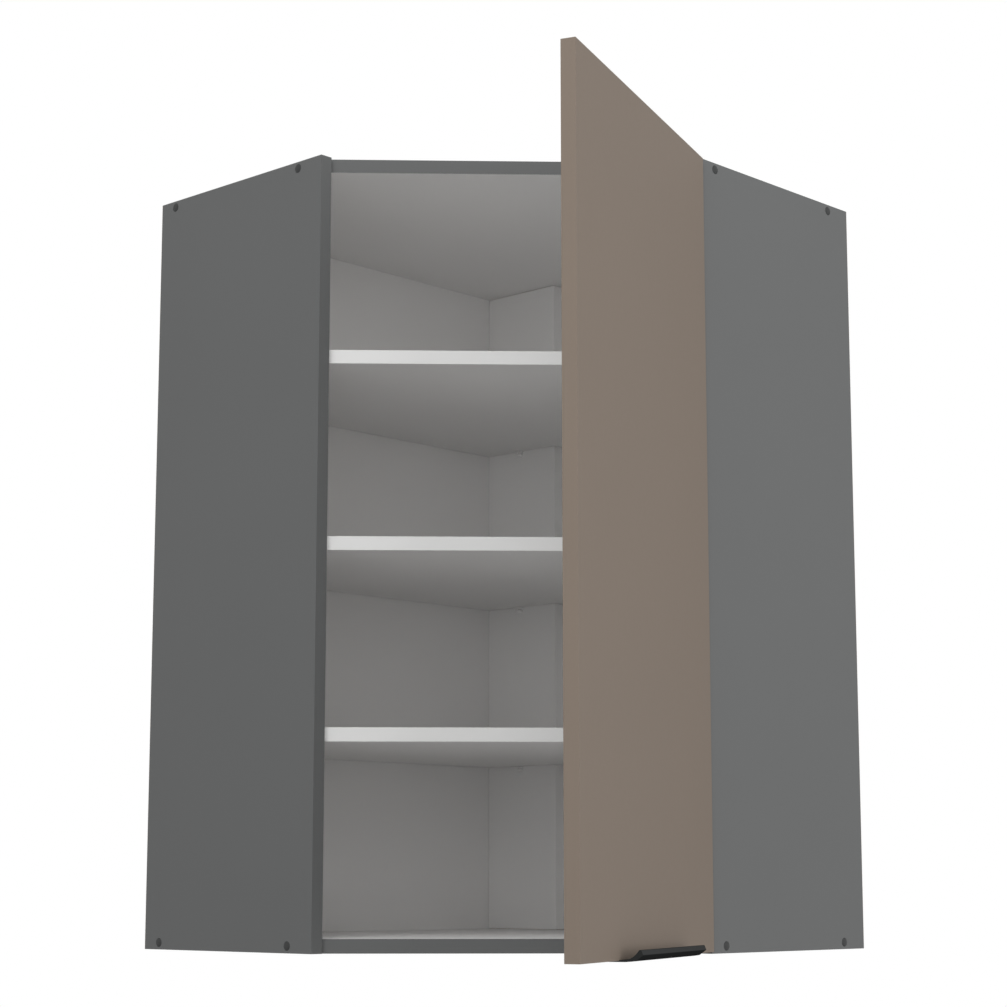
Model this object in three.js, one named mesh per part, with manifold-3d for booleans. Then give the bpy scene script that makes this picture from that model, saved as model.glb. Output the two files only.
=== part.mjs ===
// Corner wall cabinet with one diagonal door, three shelves and two wall hangers.
// Millimetres, +Z up. The origin is the corner where the two room walls meet, level with the
// cabinet's underside. The right-hand wall runs along +X, the left-hand wall along -Y.
// The two sides of the cabinet mirror each other across the vertical plane x = -y, so pieces
// that come in pairs are drawn for the right-hand side and mirrored to the left.

import * as THREE from "three";
import { mergeVertices } from "three/addons/utils/BufferGeometryUtils.js";
import Module from "manifold-3d";

const wasm = await Module();
wasm.setup();

// ---- Carcass ----
const WALL_RUN = 598; // width along each wall
const SIDE_DEPTH = 290; // depth of each side panel, out from its wall
const HEIGHT = 900;
const BOARD = 16; // sides, top and bottom
const FIT = 0.3; // gap between pieces that touch

// ---- Back: two thin sheets in grooves and a board that stands in the corner ----
const SHEET = 3;
const WALL_CAVITY = 14; // from the wall to the outer face of a sheet
const GROOVE_DEPTH = 7;
const STRIP_WIDTH = 122;
const STRIP_THICKNESS = 16;

// ---- Shelves ----
const SHELF_COUNT = 3;
const SHELF_BOARD = 16;
const LOWEST_SHELF_RISE = 215; // bottom board to the underside of the lowest shelf
const HIGHEST_SHELF_DROP = 224; // top board to the underside of the highest shelf
const SHELF_PLAY = 1; // round the shelf's sides and back
const SHELF_FRONT_GAP = 5; // from the closed door's back face

// ---- Shelf supports ----
const PIN_RADIUS = 2.5;
const PIN_LENGTH = 8.5; // in the panel
const PIN_SEAT_LENGTH = 10; // under the shelf
const PIN_SEAT_WIDTH = 8;
const PIN_PLATE = 1.5;
const PIN_DROP = 5; // from the shelf's underside to the pin's centre
const PIN_FROM_WALL = 50;
const PIN_FROM_FRONT = 52; // from the side panel's front edge

// ---- Carcass screws, one pair at each end of each side panel ----
const SCREW_INSET_SMALL = 26; // from the nearer edge of the panel
const SCREW_INSET_LARGE = 40; // from the other edge
const SCREW_LENGTH = 46;
const SCREW_RADIUS = 3.4;
const SCREW_HEAD_HEIGHT = 2.4;
const CAP_RADIUS = 5;
const CAP_THICKNESS = 1.5;
const CAP_RECESS = 0.1; // below the panel's face

// ---- Door ----
const DOOR_THICKNESS = 16;
const DOOR_SIDE_GAP = 1; // to each side panel's inner corner
const DOOR_END_GAP = 2; // below the door and above it
const DOOR_BACK_GAP = 2; // to the front edges of the top and bottom
const OPEN_ANGLE = 65.6; // degrees, the door as it stands here
const PIVOT_FROM_OUTER_FACE = 7; // the hinges' turning centre, in from the side panel's outer face
const PIVOT_FROM_FRONT = 5; // and back from its front edge

// ---- Handle, a metal profile screwed under the door ----
const HANDLE_LENGTH = 200;
const HANDLE_BASE = 0.8;
const HANDLE_UNDER_DOOR = 12;
const HANDLE_REACH = 24.7; // out from the door's face
const HANDLE_RISE = 11.5; // from the underside of the base to the top of the lip
const HANDLE_FOLD = 6.7; // from the underside of the base to where the front folds back
const HANDLE_ROOT = 1.9; // thickness in front of the door's lower edge
const HANDLE_LIP = 2.1; // thickness of the lip's top
const HANDLE_LEAN = 2; // the lip's front leans back this far from the fold to the top

// ---- Door bumpers ----
const BUMPER_RADIUS = 4;
const BUMPER_FROM_EDGE = 16;

// ---- Concealed hinges ----
const HINGE_FROM_END = 98; // from the door's end to the hinge's centre
const CUP_RADIUS = 17.5;
const CUP_DEPTH = 11.5;
const CUP_WALL = 1.5;
const CUP_FROM_EDGE = 22.5; // the cup's centre, in from the door's hinge edge
const FLANGE = 1.1;
const EAR_SPACING = 48;
const EAR_OFFSET = 9.5;
const EAR_RADIUS = 5.5;
const EAR_HOLE = 1.9;
const CUP_PIN_FROM_EDGE = 18; // the pin inside the cup
const CUP_PIN_DEPTH = 4.5;
const LINK_LENGTH = 24; // inner link, pin to pin
const LINK_LEAN = 36; // degrees between the inner link and the closed door
const HINGE_PIN_RADIUS = 1.5;
const LINK_EYE_RADIUS = 3.2;
const PIN_CLEARANCE = 0.35;
const TONGUE_HALF = 6.4; // half height of the inner link
const CHEEK = 1.5; // sheet thickness of the outer link and the arm
const ARM_HEIGHT = 11.5; // out from the mounting plate
const ARM_LENGTH = 58;
const ARM_NOSE_RADIUS = 4.3;
const PLATE_THICKNESS = 3.6;
const PLATE_FROM_FRONT = 37; // the plate's screws, back from the panel's front edge
const PLATE_LENGTH = 44;
const PLATE_WIDTH = 20;
const WING_LENGTH = 15;
const WING_SPAN = 48;
const WING_SCREW_SPACING = 32;
const WING_HOLE = 2.2;

// ---- Wall hangers ----
const HANGER_DROP = 8; // below the top board
const HANGER_HEIGHT = 42;
const HANGER_LENGTH = 60;
const HANGER_THICKNESS = 18;
const STRAP_WIDTH = 9;
const STRAP_THICKNESS = 3;
const STRAP_BELOW_TOP = 16; // the strap's upper face, below the hanger's top
const STRAP_IN_HANGER = 34;
const HOOK_DROP = 16;
const HOOK_FROM_WALL = 3;
const HOOK_TRAVEL = 6; // how far the hook can be drawn into the hanger
const RAIL_SEAT = 0.6; // depth of the seat under the strap
const WINDOW_MARGIN = 5; // round the hook, in the sheet

const ROUND = 20; // flats on a small round face
const EPS = 1; // how far a cutter runs past the face it opens

// ---- Derived places, for the right-hand side ----
const innerFace = WALL_RUN - BOARD; // inner face of the right side panel, x
const sheetFace = WALL_CAVITY + SHEET; // inner face of the back sheets, from the wall
const stripFace = sheetFace + FIT + STRIP_THICKNESS;
const floorTop = BOARD;
const ceiling = HEIGHT - BOARD;
const doorPlane = WALL_RUN + SIDE_DEPTH; // x - y on the closed door's front face
const doorBackPlane = doorPlane - DOOR_THICKNESS * Math.SQRT2;
const boardFrontPlane = doorBackPlane - DOOR_BACK_GAP * Math.SQRT2;
const shelfFrontPlane = doorBackPlane - SHELF_FRONT_GAP * Math.SQRT2;
const doorWidth = (innerFace - SIDE_DEPTH) * Math.SQRT2 - 2 * DOOR_SIDE_GAP;
const doorBottom = DOOR_END_GAP;
const doorTop = HEIGHT - DOOR_END_GAP;
const pivot = new THREE.Vector2(WALL_RUN - PIVOT_FROM_OUTER_FACE, -SIDE_DEPTH + PIVOT_FROM_FRONT);
const closedAngle = THREE.MathUtils.degToRad(225); // direction of the closed door, hinge edge to free edge
const openAngle = THREE.MathUtils.degToRad(OPEN_ANGLE);
const hingeHeights = [doorBottom + HINGE_FROM_END, doorTop - HINGE_FROM_END];
const shelfUndersides = evenly(floorTop + LOWEST_SHELF_RISE, ceiling - HIGHEST_SHELF_DROP, SHELF_COUNT);

// ---- Materials ----
const finish = (color, roughness, metalness = 0) =>
  new THREE.MeshStandardMaterial({ color, roughness, metalness });
const greyBoard = finish(0x666867, 0.55);
const whiteBoard = finish(0xf2f1ef, 0.5);
const doorBoard = finish(0x847769, 0.5);
const darkMetal = finish(0x2b2a2a, 0.4, 0.6);
const nickel = finish(0xc4c6c8, 0.3, 1);
const zinc = finish(0xb8bcc0, 0.35, 1);
const greyPlastic = finish(0x434445, 0.45);
const whitePlastic = finish(0xececea, 0.4);
const clearRubber = finish(0xdcdcd8, 0.6);

const cabinet = new THREE.Group();

// ---- Small tools ----

// count values from first to last, evenly spaced
function evenly(first, last, count) {
  const step = count > 1 ? (last - first) / (count - 1) : 0;
  return Array.from({ length: count }, (_, i) => first + step * i);
}

function solid(geometry) {
  const bare = geometry.index ? geometry.toNonIndexed() : geometry.clone();
  bare.deleteAttribute("normal");
  bare.deleteAttribute("uv");
  const merged = mergeVertices(bare, 1e-4);
  const mesh = new wasm.Mesh({
    numProp: 3,
    vertProperties: merged.attributes.position.array,
    triVerts: new Uint32Array(merged.index.array),
  });
  return new wasm.Manifold(mesh);
}

function geometryOf(manifold) {
  const mesh = manifold.getMesh();
  const geometry = new THREE.BufferGeometry();
  geometry.setAttribute("position", new THREE.BufferAttribute(mesh.vertProperties, 3));
  geometry.setIndex(new THREE.BufferAttribute(mesh.triVerts, 1));
  const flat = geometry.toNonIndexed();
  flat.computeVertexNormals();
  return flat;
}

function cut(base, ...cutters) {
  return geometryOf(cutters.reduce((whole, cutter) => whole.subtract(solid(cutter)), solid(base)));
}

function join(...pieces) {
  return geometryOf(pieces.slice(1).reduce((whole, piece) => whole.add(solid(piece)), solid(pieces[0])));
}

function box(x0, x1, y0, y1, z0, z1) {
  const geometry = new THREE.BoxGeometry(x1 - x0, y1 - y0, z1 - z0);
  return geometry.translate((x0 + x1) / 2, (y0 + y1) / 2, (z0 + z1) / 2);
}

// an outline in the XY plane, raised from z0 to z1
function prism(outline, z0, z1, curveSegments = 12) {
  const shape = outline instanceof THREE.Shape ? outline : new THREE.Shape(outline);
  const geometry = new THREE.ExtrudeGeometry(shape, { depth: z1 - z0, bevelEnabled: false, curveSegments });
  return geometry.translate(0, 0, z0);
}

// a cylinder from one height to another along Z, at (x, y)
function post(radius, x, y, z0, z1, flats = ROUND) {
  const geometry = new THREE.CylinderGeometry(radius, radius, z1 - z0, flats);
  return geometry.rotateX(Math.PI / 2).translate(x, y, (z0 + z1) / 2);
}

// a cylinder from x0 to x1 along X, at (y, z)
function dowel(radius, x0, x1, y, z, flats = ROUND) {
  const geometry = new THREE.CylinderGeometry(radius, radius, x1 - x0, flats);
  return geometry.rotateZ(Math.PI / 2).translate((x0 + x1) / 2, y, z);
}

// a cylinder from y0 to y1 along Y, at (x, z)
function peg(radius, x, z, y0, y1, flats = ROUND) {
  const geometry = new THREE.CylinderGeometry(radius, radius, y1 - y0, flats);
  return geometry.translate(x, (y0 + y1) / 2, z);
}

// a profile of [radius, distance] points turned about X, the distance measured towards -X
function turnedInward(profile, x, y, z, flats = ROUND) {
  const points = profile.map(([radius, distance]) => new THREE.Vector2(radius, distance));
  return new THREE.LatheGeometry(points, flats).rotateZ(Math.PI / 2).translate(x, y, z);
}

// the left-hand twin of a right-hand shape: x and y change places and signs
function mirrored(geometry) {
  const swap = new THREE.Matrix4().set(0, -1, 0, 0, -1, 0, 0, 0, 0, 0, 1, 0, 0, 0, 0, 1);
  const twin = geometry.index ? geometry.toNonIndexed() : geometry.clone();
  twin.applyMatrix4(swap);
  const position = twin.attributes.position;
  const first = new THREE.Vector3();
  const second = new THREE.Vector3();
  for (let corner = 0; corner < position.count; corner += 3) {
    first.fromBufferAttribute(position, corner);
    second.fromBufferAttribute(position, corner + 1);
    position.setXYZ(corner, second.x, second.y, second.z);
    position.setXYZ(corner + 1, first.x, first.y, first.z);
  }
  twin.computeVertexNormals();
  return twin;
}

function add(name, geometry, material, parent = cabinet) {
  const mesh = new THREE.Mesh(geometry, material.clone());
  mesh.name = name;
  parent.add(mesh);
  return mesh;
}

// ---- Side panels ----

// [distance from the wall, height] of the four screws in one side panel
function screwPlaces(insetFromWall, insetFromFront) {
  const heights = [BOARD / 2, HEIGHT - BOARD / 2];
  const depths = [insetFromWall, SIDE_DEPTH - insetFromFront];
  return heights.flatMap((height) => depths.map((depth) => [depth, height]));
}

const rightScrews = screwPlaces(SCREW_INSET_LARGE, SCREW_INSET_SMALL);
const leftScrews = screwPlaces(SCREW_INSET_SMALL, SCREW_INSET_LARGE);
const capSeat = CAP_RECESS + CAP_THICKNESS + FIT; // outer face to the screw head
const headSeat = capSeat + SCREW_HEAD_HEIGHT + FIT; // outer face to the foot of the counterbore
const screwTip = WALL_RUN - capSeat - SCREW_LENGTH; // x
const pinDepths = [PIN_FROM_WALL, SIDE_DEPTH - PIN_FROM_FRONT];

function sidePanel(screws) {
  const cutters = [
    box(innerFace - EPS, innerFace + GROOVE_DEPTH, -sheetFace - FIT, -WALL_CAVITY + FIT,
      floorTop - GROOVE_DEPTH, ceiling + GROOVE_DEPTH),
  ];
  for (const [depth, height] of screws) {
    cutters.push(dowel(CAP_RADIUS + FIT, WALL_RUN - headSeat, WALL_RUN + EPS, -depth, height));
    cutters.push(dowel(SCREW_RADIUS + FIT, innerFace - EPS, WALL_RUN, -depth, height));
  }
  for (const underside of shelfUndersides) {
    for (const depth of pinDepths) {
      cutters.push(dowel(PIN_RADIUS + FIT, innerFace - EPS, innerFace + PIN_LENGTH + FIT,
        -depth, underside - PIN_DROP, 12));
    }
  }
  return cut(box(innerFace, WALL_RUN, -SIDE_DEPTH, 0, 0, HEIGHT), ...cutters);
}

add("right_side_panel", sidePanel(rightScrews), greyBoard);
add("left_side_panel", mirrored(sidePanel(leftScrews)), greyBoard);

// ---- Top and bottom boards ----

// the five-sided plan between the side panels, its diagonal front on the plane x - y = front
function planOutline(side, back, front) {
  return [
    new THREE.Vector2(back, -back),
    new THREE.Vector2(back, -side),
    new THREE.Vector2(front - side, -side),
    new THREE.Vector2(side, side - front),
    new THREE.Vector2(side, -back),
  ];
}

// a board from z0 to z1 whose sheet groove is cut from grooveFrom to grooveTo
function endBoard(z0, z1, grooveFrom, grooveTo) {
  const groove = box(WALL_CAVITY - FIT, innerFace, -sheetFace - FIT, -WALL_CAVITY + FIT,
    grooveFrom, grooveTo);
  const inThisBoard = ([, height]) => height > z0 && height < z1;
  const hole = ([depth, height]) =>
    dowel(SCREW_RADIUS + FIT, screwTip - FIT, innerFace, -depth, height);
  const board = prism(planOutline(innerFace - FIT, 0, boardFrontPlane), z0, z1);
  const rightHoles = rightScrews.filter(inThisBoard).map(hole);
  const leftHoles = leftScrews.filter(inThisBoard).map(hole).map(mirrored);
  return cut(board, groove, mirrored(groove), ...rightHoles, ...leftHoles);
}

add("bottom_board", endBoard(0, floorTop, floorTop - GROOVE_DEPTH, floorTop + EPS), greyBoard);
add("top_board", endBoard(ceiling, HEIGHT, ceiling - EPS, ceiling + GROOVE_DEPTH), greyBoard);

// ---- Back ----

const sheetFoot = floorTop - GROOVE_DEPTH + FIT;
const sheetHead = ceiling + GROOVE_DEPTH - FIT;
const strapTop = ceiling - HANGER_DROP - STRAP_BELOW_TOP;
const strapMiddle = innerFace - FIT - HANGER_THICKNESS / 2; // x

// the opening that a hanger's hook passes through
function hookWindow() {
  const halfWidth = STRAP_WIDTH / 2 + WINDOW_MARGIN;
  return box(strapMiddle - halfWidth, strapMiddle + halfWidth, -sheetFace - EPS, 0,
    strapTop - HOOK_DROP - WINDOW_MARGIN, strapTop + WINDOW_MARGIN);
}

// a sheet along the right-hand wall that starts at x = start
function backSheet(start) {
  const end = innerFace + GROOVE_DEPTH - FIT;
  return cut(box(start, end, -sheetFace, -WALL_CAVITY, sheetFoot, sheetHead), hookWindow());
}

add("right_back_sheet", backSheet(WALL_CAVITY), whiteBoard);
add("left_back_sheet", mirrored(backSheet(sheetFace + FIT)), whiteBoard);

const stripMiddle = sheetFace + FIT + STRIP_WIDTH / 2; // x

function cornerStrip() {
  const holes = shelfUndersides.map((underside) =>
    peg(PIN_RADIUS + FIT, stripMiddle, underside - PIN_DROP, -stripFace - EPS,
      -stripFace + PIN_LENGTH + FIT, 12));
  const board = box(sheetFace + FIT, sheetFace + FIT + STRIP_WIDTH, -stripFace, -sheetFace - FIT,
    floorTop + FIT, ceiling - FIT);
  return cut(board, ...holes);
}

add("corner_strip", cornerStrip(), whiteBoard);

// ---- Shelves and their supports ----

// a shelf's plan steps round the corner strip
function shelfOutline() {
  const back = sheetFace + SHELF_PLAY;
  const side = innerFace - SHELF_PLAY;
  const stripEnd = sheetFace + FIT + STRIP_WIDTH + SHELF_PLAY;
  const stripFront = -stripFace - SHELF_PLAY;
  return [
    new THREE.Vector2(back, stripFront),
    new THREE.Vector2(back, -side),
    new THREE.Vector2(shelfFrontPlane - side, -side),
    new THREE.Vector2(side, side - shelfFrontPlane),
    new THREE.Vector2(side, -back),
    new THREE.Vector2(stripEnd, -back),
    new THREE.Vector2(stripEnd, stripFront),
  ];
}

// a support in the face x = 0 of a panel on its +X side, its seat just under z = 0
function shelfPin() {
  const halfWidth = PIN_SEAT_WIDTH / 2;
  const seat = box(-PIN_SEAT_LENGTH, -FIT, -halfWidth, halfWidth, -FIT - PIN_PLATE, -FIT);
  const backPlate = box(-FIT - PIN_PLATE, -FIT, -halfWidth, halfWidth, -PIN_DROP - halfWidth, -FIT);
  const shaft = dowel(PIN_RADIUS, -FIT - PIN_PLATE / 2, PIN_LENGTH, 0, -PIN_DROP, 12);
  return join(seat, backPlate, shaft);
}

shelfUndersides.forEach((underside, index) => {
  const label = `shelf_${index + 1}`;
  add(label, prism(shelfOutline(), underside, underside + SHELF_BOARD), whiteBoard);
  pinDepths.forEach((depth, place) => {
    const where = place === 0 ? "rear" : "front";
    const right = shelfPin().translate(innerFace, -depth, underside);
    add(`${label}_pin_right_${where}`, right, zinc);
    add(`${label}_pin_left_${where}`, mirrored(right), zinc);
  });
  const corner = shelfPin().rotateZ(Math.PI / 2).translate(stripMiddle, -stripFace, underside);
  add(`${label}_pin_corner`, corner, whitePlastic); // moulded, so it hardly shows on the white board
});

// ---- Carcass screws and their caps ----

// a screw whose head seats in the right side panel, pointing to -X
function carcassScrew(depth, height) {
  const tip = capSeat + SCREW_LENGTH;
  const profile = [
    [0, capSeat],
    [CAP_RADIUS, capSeat],
    [CAP_RADIUS, capSeat + SCREW_HEAD_HEIGHT],
    [SCREW_RADIUS, capSeat + SCREW_HEAD_HEIGHT],
    [SCREW_RADIUS, tip - SCREW_RADIUS],
    [0, tip],
  ];
  return turnedInward(profile, WALL_RUN, -depth, height, 12);
}

function screwCap(depth, height) {
  const outer = WALL_RUN - CAP_RECESS;
  return dowel(CAP_RADIUS, outer - CAP_THICKNESS, outer, -depth, height, 24);
}

function screwName([depth, height]) {
  const level = height < HEIGHT / 2 ? "bottom" : "top";
  return `${level}_${depth < SIDE_DEPTH / 2 ? "rear" : "front"}`;
}

for (const place of rightScrews) {
  add(`right_screw_${screwName(place)}`, carcassScrew(...place), zinc);
  add(`right_cap_${screwName(place)}`, screwCap(...place), greyPlastic);
}
for (const place of leftScrews) {
  add(`left_screw_${screwName(place)}`, mirrored(carcassScrew(...place)), zinc);
  add(`left_cap_${screwName(place)}`, mirrored(screwCap(...place)), greyPlastic);
}

// ---- Wall hangers ----

const hangerTop = ceiling - HANGER_DROP;
const hangerRear = -sheetFace - FIT;

function hangerBody() {
  const slotHalf = STRAP_WIDTH / 2 + FIT;
  const slot = box(strapMiddle - slotHalf, strapMiddle + slotHalf,
    hangerRear - STRAP_IN_HANGER - HOOK_TRAVEL - FIT, hangerRear + EPS,
    strapTop - STRAP_THICKNESS - FIT, strapTop + FIT);
  const body = box(innerFace - FIT - HANGER_THICKNESS, innerFace - FIT,
    hangerRear - HANGER_LENGTH, hangerRear, hangerTop - HANGER_HEIGHT, hangerTop);
  return cut(body, slot);
}

// a flat strap that runs out through the back and turns down behind the wall rail's edge; a
// shallow seat under it takes the rail
function hangerHook() {
  const x0 = strapMiddle - STRAP_WIDTH / 2;
  const x1 = strapMiddle + STRAP_WIDTH / 2;
  const end = -HOOK_FROM_WALL;
  const strap = box(x0, x1, hangerRear - STRAP_IN_HANGER, end, strapTop - STRAP_THICKNESS, strapTop);
  const tip = box(x0, x1, end - STRAP_THICKNESS, end, strapTop - HOOK_DROP, strapTop);
  const seat = box(x0 - EPS, x1 + EPS, -WALL_CAVITY + FIT, end - STRAP_THICKNESS,
    strapTop - STRAP_THICKNESS - EPS, strapTop - STRAP_THICKNESS + RAIL_SEAT);
  return join(cut(strap, seat), tip);
}

add("right_hanger_body", hangerBody(), whitePlastic);
add("right_hanger_hook", hangerHook(), zinc);
add("left_hanger_body", mirrored(hangerBody()), whitePlastic);
add("left_hanger_hook", mirrored(hangerHook()), zinc);

// ---- Door ----
// The door's own frame starts at its hinge-side front edge: X runs to the free edge, Y points
// out of its front face, Z is up. The group turns about the hinges' centre.

const closedCentre = new THREE.Vector2(doorPlane / 2, -doorPlane / 2);
const closedEdge = new THREE.Vector2(Math.cos(closedAngle), Math.sin(closedAngle))
  .multiplyScalar(-doorWidth / 2)
  .add(closedCentre);

const doorGroup = new THREE.Group();
const openEdge = closedEdge.clone().rotateAround(pivot, openAngle);
doorGroup.position.set(openEdge.x, openEdge.y, 0);
doorGroup.rotation.z = closedAngle + openAngle;
cabinet.add(doorGroup);

function door() {
  const cups = hingeHeights.map((height) =>
    peg(CUP_RADIUS, CUP_FROM_EDGE, height, -DOOR_THICKNESS - EPS, -DOOR_THICKNESS + CUP_DEPTH + FIT, 32));
  return cut(box(0, doorWidth, -DOOR_THICKNESS, 0, doorBottom, doorTop), ...cups);
}

add("door", door(), doorBoard, doorGroup);

// Handle section: x is out from the door's face, y is up. A thin base lies under the door. In front
// of the door a lip turns up from it, hollow on the door's side and folded on the outside.
function handle() {
  const top = doorBottom - FIT;
  const foot = top - HANDLE_BASE;
  const lipTop = foot + HANDLE_RISE;
  const lipFront = HANDLE_REACH - HANDLE_LEAN;
  const section = new THREE.Shape();
  section.moveTo(-HANDLE_UNDER_DOOR, foot);
  section.lineTo(HANDLE_REACH * 0.25, foot);
  section.lineTo(HANDLE_REACH * 0.69, foot + HANDLE_RISE * 0.1);
  section.lineTo(HANDLE_REACH, foot + HANDLE_FOLD);
  section.lineTo(lipFront + 0.2, lipTop - 0.5);
  section.lineTo(lipFront - 0.3, lipTop);
  section.lineTo(lipFront - HANDLE_LIP, lipTop);
  section.quadraticCurveTo(HANDLE_REACH * 0.57, foot + HANDLE_ROOT * 0.7, 3, foot + HANDLE_ROOT);
  section.lineTo(FIT, foot + HANDLE_ROOT);
  section.lineTo(FIT, top);
  section.lineTo(-HANDLE_UNDER_DOOR, top);
  section.closePath();
  const start = (doorWidth - HANDLE_LENGTH) / 2;
  // The section is drawn in XY and raised along Z, so it is turned to stand along the door's X.
  const turn = new THREE.Matrix4().set(0, 0, 1, start, 1, 0, 0, 0, 0, 1, 0, 0, 0, 0, 0, 1);
  return prism(section, 0, HANDLE_LENGTH, 10).applyMatrix4(turn);
}

add("handle", handle(), darkMetal, doorGroup);

const bumperBack = -DOOR_THICKNESS - FIT;
const bumperThickness = DOOR_BACK_GAP - 2 * FIT;
for (const [level, height] of [["bottom", floorTop / 2], ["top", HEIGHT - BOARD / 2]]) {
  const geometry = peg(BUMPER_RADIUS, doorWidth - BUMPER_FROM_EDGE, height,
    bumperBack - bumperThickness, bumperBack, ROUND);
  add(`${level}_door_bumper`, geometry, clearRubber, doorGroup);
}

// ---- Concealed hinges ----
// Seen from above, the pins of a hinge stand on a parallelogram: turning centre, arm pin, knee
// pin and cup pin. So the outer link turns with the door and the inner link keeps its direction.

const cupPinDoor = new THREE.Vector2(CUP_PIN_FROM_EDGE, -DOOR_THICKNESS + CUP_PIN_DEPTH);
const cupPinClosed = cupPinDoor.clone().rotateAround(new THREE.Vector2(), closedAngle).add(closedEdge);
const innerLinkAngle = closedAngle - THREE.MathUtils.degToRad(LINK_LEAN);
const innerLink = new THREE.Vector2(LINK_LENGTH, 0).rotateAround(new THREE.Vector2(), innerLinkAngle);
const armPin = pivot.clone().add(innerLink);
const cupPinOpen = cupPinClosed.clone().rotateAround(pivot, openAngle);
const kneePin = cupPinOpen.clone().add(innerLink);
const tongueCheek = TONGUE_HALF + FIT; // inner face of the outer link's cheeks
const armCheek = tongueCheek + CHEEK + FIT; // inner face of the arm's cheeks

// a bar with round ends between two points
function linkOutline(from, to, radius) {
  const angle = Math.atan2(to.y - from.y, to.x - from.x);
  const shape = new THREE.Shape();
  shape.absarc(from.x, from.y, radius, angle + Math.PI / 2, angle + 1.5 * Math.PI, false);
  shape.absarc(to.x, to.y, radius, angle - Math.PI / 2, angle + Math.PI / 2, false);
  shape.closePath();
  return shape;
}

// the inner link: a solid tongue with an eye at each end
function innerLinkPart(height) {
  const hole = HINGE_PIN_RADIUS + PIN_CLEARANCE;
  const tongue = prism(linkOutline(cupPinOpen, kneePin, LINK_EYE_RADIUS), height - TONGUE_HALF,
    height + TONGUE_HALF, 8);
  const eyes = [cupPinOpen, kneePin].map((at) =>
    post(hole, at.x, at.y, height - TONGUE_HALF - EPS, height + TONGUE_HALF + EPS, 12));
  return cut(tongue, ...eyes);
}

// the outer link: two cheeks, a sleeve round the arm's pin and the knee pin between them
function outerLinkPart(height) {
  const outline = linkOutline(armPin, kneePin, LINK_EYE_RADIUS);
  const outer = tongueCheek + CHEEK;
  const cheeks = [-1, 1].map((side) => {
    const faces = [height + side * tongueCheek, height + side * outer].sort((a, b) => a - b);
    return prism(outline, ...faces, 8);
  });
  const sleeve = post(LINK_EYE_RADIUS, armPin.x, armPin.y, height - outer, height + outer, 16);
  const knee = post(HINGE_PIN_RADIUS, kneePin.x, kneePin.y, height - outer, height + outer, 12);
  const hole = HINGE_PIN_RADIUS + PIN_CLEARANCE;
  const eye = post(hole, armPin.x, armPin.y, height - outer - EPS, height + outer + EPS, 12);
  return cut(join(...cheeks, sleeve, knee), eye);
}

// the arm: a channel over the mounting plate whose two cheeks reach out to the arm pin
function armPart(height) {
  const foot = innerFace - FIT - PLATE_THICKNESS - FIT; // x of the channel's open side
  const top = foot - ARM_HEIGHT;
  const rear = armPin.y + ARM_LENGTH;
  const outline = new THREE.Shape();
  outline.moveTo(foot, rear);
  outline.lineTo(top, rear);
  outline.lineTo(top, armPin.y + ARM_LENGTH / 3);
  outline.lineTo(armPin.x - ARM_NOSE_RADIUS, armPin.y);
  outline.absarc(armPin.x, armPin.y, ARM_NOSE_RADIUS, Math.PI, 2 * Math.PI, false);
  outline.lineTo(foot, armPin.y + ARM_LENGTH / 3);
  outline.closePath();
  const outer = armCheek + CHEEK;
  const cheeks = [-1, 1].map((side) => {
    const faces = [height + side * armCheek, height + side * outer].sort((a, b) => a - b);
    return prism(outline, ...faces, 8);
  });
  const web = box(top, top + CHEEK, armPin.y + ARM_LENGTH / 3, rear, height - outer, height + outer);
  const pin = post(HINGE_PIN_RADIUS, armPin.x, armPin.y, height - outer, height + outer, 12);
  return join(...cheeks, web, pin);
}

// the plate on the side panel: a long body across a wing with two screw holes
function mountingPlate(height) {
  const centre = -SIDE_DEPTH + PLATE_FROM_FRONT;
  const x0 = innerFace - FIT - PLATE_THICKNESS;
  const x1 = innerFace - FIT;
  const body = box(x0, x1, centre - PLATE_LENGTH / 3, centre + (2 * PLATE_LENGTH) / 3,
    height - PLATE_WIDTH / 2, height + PLATE_WIDTH / 2);
  const wing = box(x0 + PLATE_THICKNESS / 3, x1, centre - WING_LENGTH / 2, centre + WING_LENGTH / 2,
    height - WING_SPAN / 2, height + WING_SPAN / 2);
  const holes = [-1, 1].map((side) =>
    dowel(WING_HOLE, x0 - EPS, x1 + EPS, centre, height + (side * WING_SCREW_SPACING) / 2, 12));
  return cut(join(body, wing), ...holes);
}

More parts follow.
